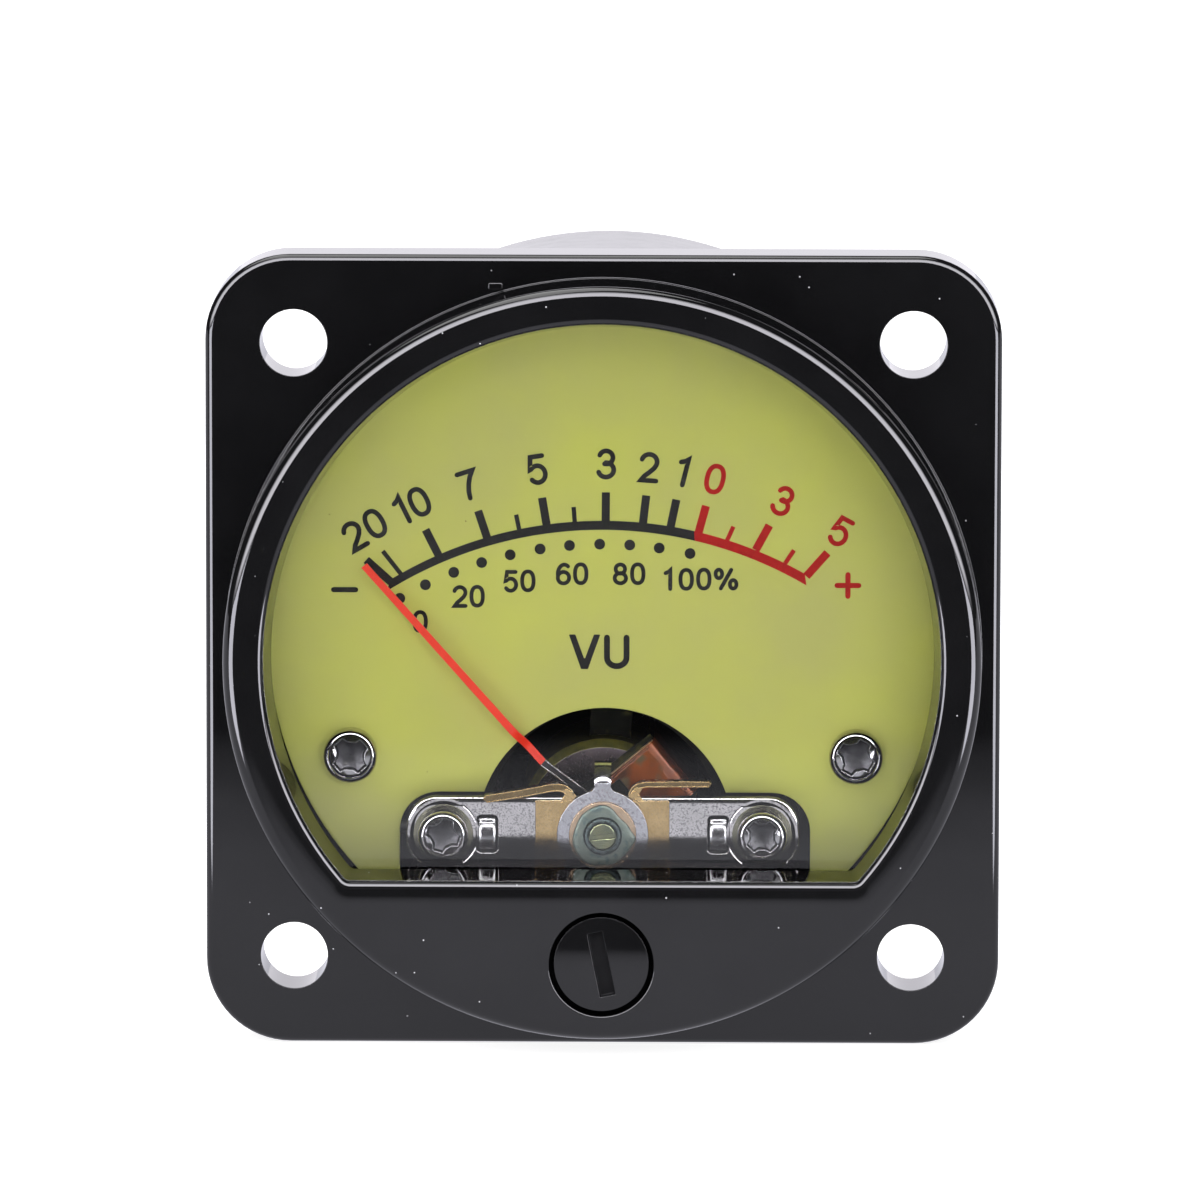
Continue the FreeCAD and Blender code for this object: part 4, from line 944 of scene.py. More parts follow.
# the middle line of every glyph in a box 1 high, centred on 0; a closed line ends where it starts
glyphs = {
    "0": [ovalPoints(0, 0, 0.262, 0.435, power=2.35)],
    "1": [[(-0.16, 0.30), (-0.02, 0.36), (0.06, 0.435), (0.06, -0.435)]],
    "2": [ovalPoints(0, 0.19, 0.255, 0.245, -75, 100, 22) +
          [(0.235, 0.09), (0.17, -0.02), (0.03, -0.155), (-0.13, -0.29), (-0.235, -0.435),
           (0.265, -0.435)]],
    "3": [ovalPoints(-0.005, 0.215, 0.225, 0.22, -70, 170, 24) + [(-0.06, 0.005)],
          [(-0.06, 0.005)] + ovalPoints(-0.01, -0.195, 0.255, 0.24, 0, 252, 28)],
    "5": [[(0.225, 0.435), (-0.17, 0.435), (-0.235, 0.02)] +
          ovalPoints(-0.01, -0.155, 0.255, 0.28, -48, 235, 30)],
    "6": [ovalPoints(0, -0.17, 0.26, 0.265), ovalPoints(0.04, -0.02, 0.30, 0.455, 35, -92, 20)],
    "7": [[(-0.26, 0.435), (0.27, 0.435), (0.13, 0.25), (0.02, 0.03), (-0.05, -0.20),
           (-0.075, -0.435)]],
    "8": [ovalPoints(0, 0.225, 0.215, 0.21), ovalPoints(0, -0.20, 0.26, 0.235)],
    "%": [ovalPoints(-0.33, 0.24, 0.15, 0.195), ovalPoints(0.33, -0.24, 0.15, 0.195),
          [(0.24, 0.435), (-0.24, -0.435)]],
}
glyphTall = 0.87  # the middle line's height in that box

inks = {"black": newShell(), "red": newShell()}


def inkPlate(ink, outline, level=0, holes=()):
    front = dial["front"] - dial["print"] - 0.003 * level
    plate(inks[ink], outline, front, dial["front"] + 0.05, 0, holes)


def inkStroke(ink, path, width, level=0):
    # an open stroke has round ends; a closed one is a ring
    if math.dist(path[0], path[-1]) < 1e-6:
        loop = pathOutline(path[:-1])
        outer, inner = ([(x + nx * half, z + nz * half, nx, nz) for x, z, nx, nz in loop]
                        for half in (width / 2, -width / 2))
        inkPlate(ink, outer, level, [inner])
    else:
        inkPlate(ink, stripOutline(path, width / 2), level)


def inkGlyph(glyph, x, z, height, stroke, angle, ink):
    c, s = math.cos(math.radians(angle)), math.sin(math.radians(angle))
    grow = (height - stroke) / glyphTall
    for level, path in enumerate(glyphs[glyph]):
        line = [(x + grow * (px * c + pz * s), z + grow * (pz * c - px * s)) for px, pz in path]
        inkStroke(ink, line, stroke, level)


def printDial():
    s = scale
    for glyph, x, z, angle, ink in s["upper"]:
        inkGlyph(glyph, x, z, s["upperHeight"], s["upperStroke"], angle, ink)
    for glyph, x, z in s["lower"]:
        inkGlyph(glyph, x, z, s["lowerHeight"], s["lowerStroke"], 0, "black")
    inkPlate("black", roundedPolygon(s["unitV"], 0.04, 2))
    (left, right), (high, low), oval = s["unitU"]
    bowl = ovalPoints(*oval, 270, 90, 20)[1:-1]
    inkStroke("black", [(left, high), (left, low)] + bowl + [(right, low), (right, high)],
              s["unitStroke"])
    for ink, line, level in s["signs"]:
        inkStroke(ink, line, s["signStroke"], level)
    # the arc under the ticks, in two inks
    (ox, oz, outer), (ix, iz, inner) = s["bandOuter"], s["bandInner"]
    low, high = s["bandEnds"]
    for ink, start, end in (("black", low, s["inkChange"]), ("red", s["inkChange"], high)):
        xs = [start + (end - start) * k / s["bandSteps"] for k in range(s["bandSteps"] + 1)]
        band = []
        for x, z, radius, row in ((ox, oz, outer, xs),
                                  (ix, iz, inner, [v * s["bandSpread"] for v in xs[::-1]])):
            band += [(v, z + math.sqrt(radius ** 2 - (v - x) ** 2)) for v in row]
        inkPlate(ink, pathOutline(band), 1)
    for ink in ("Black", "Red"):
        makePiece("dialPrint" + ink, inks[ink.lower()], "print" + ink, "case")
    # ticks and dots: one small block and one small disc, copied by the tree
    block, disc = newShell(), newShell()
    plate(block, roundedBox(-0.5, 0.5, 0, 1, 0.03, 2), -1, 0, 0)
    plate(disc, circle(1, count=28), -1, 0, 0)
    for ink in ("Black", "Red"):
        ticks = [t for t in s["ticks"] if t[3] == ink.lower()]
        turns = [math.degrees(math.atan2(tx - bx, tz - bz)) for (bx, bz), (tx, tz), _, _ in ticks]
        copies("dialTicks" + ink, block, "print" + ink, "case",
               [(bx, dial["front"] + 0.01, bz) for (bx, bz), _, _, _ in ticks], turns,
               [(w, dial["print"] + 0.015, math.dist(a, b)) for a, b, w, _ in ticks])
    dots = s["dots"]
    turns = [math.radians(a) for a in dots["angles"]]
    copies("dialDots", disc, "printBlack", "case",
           [(dots["x"] + dots["radius"] * math.sin(a), dial["front"] + 0.01,
             dots["z"] + dots["radius"] * math.cos(a)) for a in turns],
           [0] * len(turns), [(dots["size"], dial["print"] + 0.01, dots["size"])] * len(turns))


printDial()
print("dial made")


# screws with a lobed drive
screws = {
    "dial": {"radius": 1.54, "height": 0.9, "seat": -1.7, "x": 14.37, "z": -6.3,
             "turns": (4, -14.5), "tip": 4.0},
    "bridge": {"radius": 1.42, "height": 0.85, "seat": -3.5, "x": 9.05, "z": -10.6,
               "turns": (-27, 0), "tip": 5.0},
    "rearBridge": {"radius": 1.42, "height": 0.85, "seat": 14.4, "x": 9.05, "z": -10.6,
                   "turns": (12, 33), "tip": 5.8},
    "shank": 0.8, "dome": 5.2, "rim": 0.34,
    # the drive: reach of its lobes and of the tongues between them, their half angles and corners
    "reach": 0.70, "tongue": 0.52, "lobe": 17, "tongueHalf": 15, "lobeSoft": 0.05,
    "tongueSoft": 0.13, "lip": 0.045, "sink": 0.72, "wallIn": 0.08, "wallLean": 0.15, "dish": 0.1,
}


def driveRecess(radius, turn=45):
    # four broad lobes with straight ends, and between them the round tongues of the head
    s = screws
    lobe, tongue = (s["reach"], s["lobeSoft"]), (s["tongue"], s["tongueSoft"])
    corners, radii = [], []
    for k in range(4):
        for (share, soft), offset in ((lobe, -s["lobe"]), (lobe, s["lobe"]),
                                      (tongue, 45 - s["tongueHalf"]),
                                      (tongue, 45 + s["tongueHalf"])):
            angle = math.radians(turn + 90 * k + offset)
            corners.append((radius * share * math.sin(angle), radius * share * math.cos(angle)))
            radii.append(soft)
    return roundedPolygon(corners, radii, 5)


def screwHead(shell, radius, height):
    # a low dome that runs into a rounded rim; the drive is sunk into the dome
    s = screws
    dome, rim, lip = s["dome"], s["rim"], s["lip"]
    edge = radius - rim
    tilt = math.asin(edge / (dome + rim))
    crown = -height
    rimY = crown + dome - ((dome + rim) * math.cos(tilt) - rim)

    def domeY(x, z):
        reach = min(math.hypot(x, z), dome * 0.9)
        return crown + dome - math.sqrt(dome ** 2 - reach ** 2)

    rimRun = []
    for k in range(9):
        a = tilt + (math.pi / 2 - tilt) * k / 8
        rimRun.append((edge + rim * math.sin(a), rimY - rim * math.cos(a), math.sin(a),
                       -math.cos(a)))
    last = sweep(shell, circle(0, count=64), [rimRun, wallRun(radius, rimY, 0)])[1]
    fillCap(shell, [last], 1)
    # rings of the dome from its rim inwards to the drive's lip, each point on the sphere
    recess = driveRecess(radius)
    start = edge + rim * math.sin(tilt)
    rings = []
    for step in range(5):
        share = step / 4
        points, normals = [], []
        for x, z, nx, nz in recess:
            angle = math.atan2(x, z)
            ox, oz = start * math.sin(angle), start * math.cos(angle)
            px, pz = ox + (x + nx * lip - ox) * share, oz + (z + nz * lip - oz) * share
            points.append((px, domeY(px, pz), pz))
            normals.append((px / dome, -math.sqrt(max(0.0, 1 - (px ** 2 + pz ** 2) / dome ** 2)),
                            pz / dome))
        rings.append((points, normals))
    # the lip turns down into a wall that leans in, over a dished floor
    lipRings = []
    for k in range(4):
        angle = math.radians(-90 - 90 * k / 3)
        c, d = math.cos(angle), math.sin(angle)
        out = lip + lip * c
        lipRings.append(([(x + nx * out, domeY(x, z) + lip + lip * d, z + nz * out) for x, z, nx,
                          nz in recess], [(nx * c, d, nz * c) for x, z, nx, nz in recess]))
    skin(shell, [rings, lipRings])
    depth, wallIn, dish = crown + height * s["sink"], s["wallIn"], s["dish"]
    inner = [(x - nx * wallIn, z - nz * wallIn) for x, z, nx, nz in recess]
    facing = [(-nx, -s["wallLean"], -nz) for x, z, nx, nz in recess]
    wall = [([(x, domeY(x, z) + lip, z) for x, z, nx, nz in recess], facing),
            ([(x, depth - dish, z) for x, z in inner], facing)]
    floor = [([(x * share, depth - dish * share ** 2, z * share) for x, z in inner],
              [(-x * 0.35 * share, -1, -z * 0.35 * share) for x, z, nx, nz in recess])
             for share in (1.0, 0.66, 0.33, 0.02)]
    well = newShell()
    skin(well, [wall, floor])
    return well


def screwShape(radius, height, reach, shank):
    # the screw and, on its own, the well of its drive, darkened as painted shade
    shell = newShell()
    well = screwHead(shell, radius, height)
    rod(shell, shank, -0.1, reach, edge=0.15, count=24)
    return shell, well


def pairAt(x, y, z):
    return [(-x, y, z), (x, y, z)]


def frontScrews():
    for name, node in (("dial", "dial_screws"), ("bridge", "bridge_screws")):
        s = screws[name]
        shape, well = screwShape(s["radius"], s["height"], s["tip"] - s["seat"], screws["shank"])
        spots = pairAt(s["x"], s["seat"], s["z"])
        copies(name + "Screws", shape, "screwSteel", "case", spots, s["turns"],
               replaces=[node])
        # the drive wells take the steel darkened as painted shade
        copies(name + "ScrewWells", well, "paintedShadeSteel", "case", spots, s["turns"])


frontScrews()


# front bridge with its ring pads and pressed tabs
movementLean = -0.087  # the movement hangs a few degrees nose down on its bridge
bridgeBar = {"halfLength": 11.13, "low": -12.7, "high": -8.5, "corner": 1.7, "front": -3.5,
             "back": -2.6, "roll": 0.44, "rollDepth": 0.105, "screwX": 9.05, "pad": 1.97,
             "padLine": 0.07, "seatRing": 1.70, "tabX": 6.56, "tabHalf": 0.60, "tabLow": -11.68,
             "tabHigh": -9.52, "tabCorner": 0.28, "groove": 0.10, "hub": 1.2, "hubFront": -3.95,
             "tabNarrow": 0.10, "tabRound": 0.10,
             # across the tab: place and lean of the normal
             "tabSection": ((-1, -0.9), (-0.9, -0.35), (-0.5, -0.05), (0.5, 0.05), (0.9, 0.35),
                            (1, 0.9)),
             # the tab's face from top to bottom: share of its height, how far it stands out
             "tabFace": ((0.0, -0.22), (0.06, -0.05), (0.13, -0.10), (0.20, -0.02), (0.27, 0.06),
                         (0.42, 0.115), (0.56, 0.13), (0.72, 0.12), (0.86, 0.04), (0.93, -0.06),
                         (1.0, -0.22))}


def rollProfile(width, depth, front, steps=9):
    # a sheared edge rolls over: flat at first, steep at the rim; half an oval, wide and shallow
    run = []
    for k in range(steps + 1):
        angle = math.radians(90 * k / steps)
        across, down = math.sin(angle), 1 - math.cos(angle)
        slope = Vector((math.sin(angle) * depth, math.cos(angle) * width)).normalized()
        run.append((-width + width * across, front + depth * down, slope.x, -slope.y))
    return run


def pressedTab(shell, x):
    # the lanced tab inside its groove: a strip lofted along its height
    b = bridgeBar
    half, length = b["tabHalf"] - b["groove"], b["tabHigh"] - b["tabLow"] - 2 * b["groove"]
    top = b["tabHigh"] - b["groove"]
    rows = [(top - share * length, b["front"] - lift) for share, lift in b["tabFace"]]
    rings = []
    for i, (z, y) in enumerate(rows):
        before, after = rows[max(i - 1, 0)], rows[min(i + 1, len(rows) - 1)]
        run = Vector((after[0] - before[0], after[1] - before[1])).normalized()
        up, forward = -run.y, run.x
        if forward > 0:
            up, forward = -up, -forward
        narrow = half - (b["tabNarrow"] if i in (0, len(rows) - 1) else 0.0)
        points, normals = [], []
        for across, lean in b["tabSection"]:
            points.append((x + narrow * across, y + b["tabRound"] * abs(lean) ** 1.5, z))
            normals.append((lean, forward, up))
        rings.append((points, normals))
    skin(shell, [rings], closed=False)


def frontBridge():
    b = bridgeBar
    shell = newShell()
    outline = roundedBox(-b["halfLength"], b["halfLength"], b["low"], b["high"], b["corner"], 12)
    front, edge = sweep(shell, outline, [rollProfile(b["roll"], b["rollDepth"], b["front"])])
    sheared = newShell()
    first, back = sweep(sheared, outline, [
        wallRun(0, b["front"] + b["rollDepth"], b["back"] - 0.05),
        arcRun(-0.05, b["back"] - 0.05, 0.05, 0, 90, 2)])
    fillCap(sheared, [back], 1)
    fillCap(shell, [edge], 1)
    fronts = [front]
    line, f = b["padLine"], b["front"]
    tabs = newShell()
    for side in (-1, 1):
        # a pressed line rings each screw's pad
        outer, inner = sweep(shell, circle(0, side * b["screwX"], pivotZ, 64), [
            [(b["pad"] + line, f, 0, -1), (b["pad"] + line * 0.5, f + 0.012, -0.5, -0.85),
             (b["pad"], f + 0.025, 0, -1), (b["pad"] - line * 0.5, f + 0.012, 0.5, -0.85),
             (b["pad"] - line, f, 0, -1)]])
        fronts.append(outer)
        fillCap(shell, [inner], -1)
        x = side * b["tabX"]
        hole = roundedBox(x - b["tabHalf"], x + b["tabHalf"], b["tabLow"], b["tabHigh"],
                          b["tabCorner"], 6)
        rim, floor = sweep(shell, hole, [arcRun(0.05, f + 0.05, 0.05, -90, -180, 4),
                                         [(0, f + 0.05, -1, 0), (-0.02, f + 0.40, -1, 0)]])
        fronts.append(rim)
        fillCap(shell, [floor], -1)
        pressedTab(tabs, x)
    fillCap(shell, fronts, -1)
    fillCap(sheared, [first], -1)
    rod(shell, b["hub"], b["hubFront"], b["back"] - 0.01, pivotX, pivotZ, 0.05)
    # the sheared edge is darkened as painted shade
    makePiece("bridgeEdge", sheared, "paintedShadeSteel", "case")
    nod(shell, movementLean)
    makePiece("frontBridge", shell, "nickel", "case", ["front_bridge"])
    makePiece("bridgeTabs", tabs, "tabNickel", "case")
    # the flats under the screw heads, coined brighter than the bar
    seats = newShell()
    for side in (-1, 1):
        plate(seats, circle(b["seatRing"], side * b["screwX"], pivotZ, 64), f - 0.012, f + 0.02,
              0.01, [circle(1.0, side * b["screwX"], pivotZ, 40)])
    nod(seats, movementLean)
    makePiece("screwSeats", seats, "oliveNickel", "case")


frontBridge()


# contact plate, zero lever and the stack on the axis
contact = {"box": (-3.83, 3.79, -13.0, -8.64), "front": -3.65, "back": -3.5, "armBack": -2.6,
           "rim": 0.035, "leftArm": [(-2.22, -8.95), (-1.80, -8.46), (-1.92, -8.18), (-2.16, -7.99),
                                     (-2.5, -7.90), (-2.95, -7.93), (-4.6, -8.26), (-6.60, -8.58)],
           "leftHalf": 0.205,
           "rightArm": [(2.0, -9.0), (1.66, -8.55), (1.62, -8.25), (1.78, -7.98), (2.05, -7.80),
                        (2.4, -7.72), (4.4, -7.69), (6.02, -7.70)],
           "rightHalf": 0.15,
           "webs": ([(-1.5, -8.66), (-1.5, -8.35), (-1.95, -7.98), (-2.40, -8.02), (-2.16, -8.30),
                     (-2.35, -8.60), (-2.5, -8.66)],
                    [(1.5, -8.66), (1.5, -8.30), (1.88, -7.86), (2.28, -7.92), (2.06, -8.28),
                     (2.28, -8.60), (2.45, -8.66)])}


def contactPlate():
    c = contact
    shell = newShell()
    plate(shell, roundedBox(*c["box"], 0.10, 3), c["front"], c["back"] - 0.005, c["rim"])
    for web in c["webs"]:
        plate(shell, roundedPolygon(web, 0.04, 3), c["front"] + 0.004, c["back"] - 0.01, c["rim"])
    nod(shell, movementLean)
    makePiece("contactPlate", shell, "brass", "case", ["contact_plate"])
    # the two arms, bent so that their cut edges face the front, are darkened as painted shade; a
    # bright burr runs along both sides
    arms, burrs = newShell(), newShell()
    for line, half in ((c["leftArm"], c["leftHalf"]), (c["rightArm"], c["rightHalf"])):
        plate(arms, stripOutline(line, half), c["front"] + 0.01, c["armBack"], 0.06)
        outline = stripOutline(line, half - 0.02)
        count = len(line)
        edge = [(x, z) for x, z, _, _ in outline]
        for run in (edge[:count], edge[count + 3:2 * count + 3]):
            plate(burrs, stripOutline(run, 0.038, 3), c["front"] - 0.02, c["front"] + 0.06, 0.02)
    for name, part, look in (("contactArms", arms, "paintedShadeEdgeBrass"), ("contactBurrs", burrs, "brass")):
        nod(part, movementLean)
        makePiece(name, part, look, "case")


contactPlate()

lever = {"front": -3.92, "back": -3.68, "ring": 2.60, "bore": 1.25, "tabHalf": 0.47,
         "tabTop": -6.56, "forkHalf": 2.18, "forkLow": -16.95, "slotHalf": 0.56, "slotTop": -15.45,
         "tabBack": -2.2, "tabBend": 1.05, "fillet": 0.35}


def zeroLever():
    v = lever
    shell = newShell()
    up = math.degrees(math.asin((v["tabHalf"] + v["fillet"]) / (v["ring"] + v["fillet"])))
    down = math.degrees(math.asin(v["forkHalf"] / v["ring"]))
    bendZ = v["tabTop"] - v["tabBend"]
    centre = math.sqrt((v["ring"] + v["fillet"]) ** 2 - (v["tabHalf"] + v["fillet"]) ** 2)
    points = [(v["tabHalf"], bendZ)]
    points += arcPoints(v["tabHalf"] + v["fillet"], pivotZ + centre, v["fillet"], -90, -180 + up, 6)
    points += arcPoints(0, pivotZ, v["ring"], up, 180 - down, 40)
    points += [(v["forkHalf"], v["forkLow"]), (v["slotHalf"], v["forkLow"])]
    points += arcPoints(0, v["slotTop"] - v["slotHalf"], v["slotHalf"], 90, -90, 12)
    points += [(-v["slotHalf"], v["forkLow"]), (-v["forkHalf"], v["forkLow"])]
    points += arcPoints(0, pivotZ, v["ring"], 180 + down, 360 - up, 40)
    points += arcPoints(-v["tabHalf"] - v["fillet"], pivotZ + centre, v["fillet"], 180 - up, 90, 6)
    points += [(-v["tabHalf"], bendZ)]
    plate(shell, pathOutline(points), v["front"], v["back"], 0.04, [circle(v["bore"], 0, pivotZ)])
    # the tab bends back over the hairspring
    bend, thick, half = v["tabBend"], v["back"] - v["front"], v["tabHalf"]
    rings, path = [], []
    for k in range(11):
        angle, facing = math.radians(9 * k), math.radians(20 + 4.5 * k if k else 0)
        path.append((v["front"] + bend - bend * math.cos(angle), bendZ + bend * math.sin(angle),
                     -math.cos(facing), math.sin(facing)))
    path += [(v["tabBack"], bendZ + bend, -math.cos(facing), math.sin(facing))]
    for y, z, ny, nz in path:
        inY, inZ = y - ny * thick, z - nz * thick
        rings.append(([(-half, y, z), (half, y, z), (half, inY, inZ), (-half, inY, inZ)],
                      [(-0.25, ny, nz), (0.25, ny, nz), (0.7, -ny, -nz), (-0.7, -ny, -nz)]))
    last = skin(shell, [rings])[1]
    addFace(shell, last, [(0, 1, 0)] * 4)
    nod(shell, movementLean)
    makePiece("zeroLever", shell, "leverNickel", "zero_lever", ["zero_lever"])


zeroLever()


def slottedHead(shell, x, z, radius, front, back, depth, half, angle, edge=0.06):
    # a turned head cut right across by a driver's slot
    rim = math.degrees(math.asin(half / radius))
    for side in (0, 180):
        corners = arcPoints(0, 0, radius, rim + side, 180 - rim + side, 28)
        outline = turnOutline([(px + x, pz + z, nx, nz) for px, pz, nx, nz in pathOutline(corners)],
                              angle, x, z)
        plate(shell, outline, front, front + depth + 0.02, edge)
    rod(shell, radius, front + depth, back, x, z, 0.02)


axisParts = {"washer": (1.92, 0.86, -4.10, -3.95), "nutBore": 0.80, "nutTop": 0.98, "nutFoot": 1.12,
             "nutFront": -4.48, "nutBack": -4.1, "screw": 0.77, "screwFront": -4.5,
             "screwBack": -3.0, "slotDepth": 0.22, "slotHalf": 0.13, "slotTurn": 84}


def axisStack():
    a = axisParts
    shell = newShell()
    outer, inner, front, back = a["washer"]
    tube(shell, outer, inner, front, back, pivotX, pivotZ, 0.04)
    nod(shell, movementLean)
    makePiece("frictionWasher", shell, "copper", "case", ["friction_washer"])
    shell = newShell()
    nutFront, nutBack = a["nutFront"], a["nutBack"]
    bore, rim, foot = a["nutBore"], a["nutTop"], a["nutFoot"]
    first, last = sweep(shell, circle(0, pivotX, pivotZ, 64),
                        [wallRun(bore, nutBack, nutFront + 0.05, -1),
                         arcRun(bore + 0.05, nutFront + 0.05, 0.05, 180, 270, 3),
                         [(bore + 0.05, nutFront, 0, -1), (rim, nutFront, 0.3, -0.95),
                          (rim + 0.05, nutFront + 0.06, 0.7, -0.7), (foot, nutBack, 0.95, -0.3)]])
    fillCap(shell, [last, first], 1)
    makePiece("frontLockNut", shell, "darkNut", "case", ["front_lock_nut"])
    shell = newShell()
    slottedHead(shell, pivotX, pivotZ, a["screw"], a["screwFront"], a["screwBack"], a["slotDepth"],
                a["slotHalf"], a["slotTurn"], 0.09)
    makePiece("frontJewelScrew", shell, "dullBrass", "case", ["front_jewel_screw"])


axisStack()

lacquer = {"reach": 1.72, "front": -4.1, "count": 96,
           # lobes of the drop's rim: how far, how many, from where
           "lobes": ((0.05, 2, 0.6), (0.035, 3, 2.0), (0.02, 7, 1.0)), "corner": (0.20, 95, 11),
           "bare": (-0.30, 45, 26),
           "heights": ((0.0, 0.0, 0.4), (0.03, 0.018, 1.0), (0.08, 0.03, 1.4), (0.20, 0.04, 1.5),
                       (0.34, 0.055, 1.5), (0.42, 0.10, 1.3))}


def lacquerBlob():
    # a drop of locking lacquer run over the washer, thickest at the nut
    # and short of the washer's upper right
    c = lacquer
    shell = newShell()
    outline = []
    for k in range(c["count"]):
        angle = fullTurn * k / c["count"]
        reach = c["reach"] + sum(high * math.sin(waves * angle + start)
                                 for high, waves, start in c["lobes"])
        for high, where, wide in (c["corner"], c["bare"]):
            reach += high * math.exp(-((math.degrees(angle) - where) / wide) ** 2)
        outline.append((pivotX + reach * math.sin(angle), pivotZ + reach * math.cos(angle)))
    rim = pathOutline(outline)
    runs = []
    for share, rise, slope in c["heights"]:
        ring = [(pivotX + (x - pivotX) * (1 - share), c["front"] -
                 rise * (1 + 0.12 * math.sin(9 * k / c["count"] * fullTurn)),
                 pivotZ + (z - pivotZ) * (1 - share)) for k, (x, z, nx, nz) in enumerate(rim)]
        runs.append((ring, [(nx * math.cos(slope), -math.sin(slope) - 0.02, nz * math.cos(slope))
                            for x, z, nx, nz in rim]))
    base, inner = skin(shell, [runs])
    fillCap(shell, [base], 1)
    fillCap(shell, [inner], -1)
    makePiece("lockingLacquer", shell, "lacquerGreen", "case")


lacquerBlob()


# zero adjuster
adjuster = {"radius": 2.67, "front": -8.8, "back": -7.8, "slotHalf": 0.45, "slotReach": 1.85,
            "slotTurn": -11.6, "depth": 0.7, "edge": 0.012, "lean": 0.038, "crown": 0.021,
            # the neck's radius and end, and the eccentric pin's radius, throw and end
            "neck": (1.45, -5.3), "pin": (0.5, 1.0, -3.44)}


def zeroAdjuster():
    a = adjuster
    shell, well = newShell(), newShell()
    slot = turnOutline(roundedBox(-a["slotHalf"], a["slotHalf"], adjusterZ - a["slotReach"],
                                  adjusterZ + a["slotReach"], 0.06, 5), a["slotTurn"], 0, adjusterZ)
    recessed(shell, well, circle(a["radius"], 0, adjusterZ), a["front"], a["back"], a["edge"], slot,
             a["depth"], 0.02)
    # the slot's walls and floor are darkened as painted shade
    makePiece("adjusterSlot", well, "paintedShadeSlotPlastic", "zero_adjuster")
    neck, neckEnd = a["neck"]
    rod(shell, neck, a["back"] - 0.1, neckEnd, 0, adjusterZ, 0.05)
    pin, throw, pinEnd = a["pin"]
    rod(shell, pin, neckEnd - 0.1, pinEnd, 0, adjusterZ + throw, 0.1, 24)
    # the head's face is crowned and sits a hair out of square
    nod(shell, a["lean"], a["crown"], adjusterZ)
    makePiece("zeroAdjuster", shell, "blackPlastic", "zero_adjuster",
              ["zero_adjuster"])


zeroAdjuster()
print("front metalwork made")


# pointer, spring and coil
pointer = {"root": (-0.50, -8.9), "knee": (-3.42, -6.72), "tip": (-13.56, 4.66), "half": 0.225,
           "tipHalf": 0.205, "thick": 0.075, "rear": -1.825, "lift": 1.0, "stepFrom": 1.2,
           "stepTo": 2.6, "stubHalf": 0.21, "stubRise": 0.20, "stubWall": 0.035, "stubFloor": 0.04,
           "shortWall": 0.45}


def pointerStations():
    p = pointer
    kx, kz = p["knee"]
    tx, tz = p["tip"]
    length = math.dist(p["knee"], p["tip"])
    stations = []
    for k in range(41):
        along = length * k / 40
        share = min(1, max(0, (along - p["stepFrom"]) / (p["stepTo"] - p["stepFrom"])))
        smooth = share * share * (3 - 2 * share)
        stations.append((kx + (tx - kx) * k / 40, p["rear"] - p["lift"] * smooth,
                         kz + (tz - kz) * k / 40, p["half"] + (p["tipHalf"] - p["half"]) * k / 40,
                         p["thick"]))
    return stations


def pointerPiece():
    p = pointer
    blade = newShell()
    ribbon(blade, pointerStations())
    makePiece("pointerBlade", blade, "pointerRed", "moving_coil", ["pointer"])
    # the stub is a folded channel: a floor and two thin upright walls, the left one short
    stub = newShell()
    rx, rz = p["root"]
    kx, kz = p["knee"]
    along = Vector((kx - rx, kz - rz)).normalized()
    side = Vector((along.y, -along.x))
    y = p["rear"]
    ribbon(stub, [(rx + (kx - rx) * k / 8, y, rz + (kz - rz) * k / 8, p["stubHalf"], p["stubFloor"])
                  for k in range(9)])
    # the channel's floor is darkened as painted shade
    makePiece("pointerStub", stub, "paintedShadeSteel", "moving_coil")
    walls = newShell()
    for sign, start in ((1, 0.0), (-1, p["shortWall"])):
        out, spots = sign * (p["stubHalf"] - p["stubWall"]), []
        for k in range(9):
            share = start + (1 - start) * k / 8
            spots.append((rx + (kx - rx) * share + out * side.x, y - p["stubRise"] / 2,
                          rz + (kz - rz) * share + out * side.y, p["stubWall"],
                          p["stubRise"] / 2 + p["stubFloor"]))
        ribbon(walls, spots)
    makePiece("stubWalls", walls, "aluminium", "moving_coil")


pointerPiece()


def coilTurn(angle):
    # from a coil drawn upright on the axis to its place at rest
    turn = Matrix.Rotation(math.radians(angle), 4, "Y")
    return Matrix.Translation((pivotX * mm, 0, pivotZ * mm)) @ turn


coil = {"angle": 50.0, "half": 1.98, "height": 5.42, "front": -0.02, "back": 10.62, "pitch": 0.118,
        "wire": 0.064, "corner": 0.55, "layers": (0.0, -0.11, -0.22),
        "varnish": {"half": 1.90, "reach": 5.14, "front": -0.17, "swell": 0.055, "rows": 40,
                    "columns": 18},
        "foil": {"half": 1.98, "reach": 5.30, "width": 0.030, "front": -0.19, "back": 0.30}}


def coilWinding():
    c = coil
    parts = []
    for number, inset in enumerate(c["layers"]):
        length, height = c["back"] - c["front"] + 2 * inset, 2 * (c["height"] + inset)
        turns = int(2 * c["half"] / c["pitch"])
        # the loop is drawn in X and Y: X becomes the depth, Y the height, Z the width
        upright = Matrix(((0, 0, 1, -turns * c["pitch"] * mm / 2),
                          (1, 0, 0, (c["front"] + c["back"]) / 2 * mm), (0, 1, 0, 0), (0, 0, 0, 1)))
        loops = runTree("winding", f"coilLayer{number}", [(0, 0, 0)], {
            "Length": length * mm, "Height": height * mm, "Corner": (c["corner"] + inset) * mm,
            "Pitch": c["pitch"] * mm, "Turns": turns, "Wire": c["wire"] * mm,
            "Material": looks["magnetWire"]}, matrix=coilTurn(c["angle"]) @ upright)
        parts.append(loops)
    whole = parts[0]
    for extra in parts[1:]:
        joinMesh(whole, extra)
    whole.name = "coilWinding"
    settle(whole, "moving_coil", ["coil_winding"])


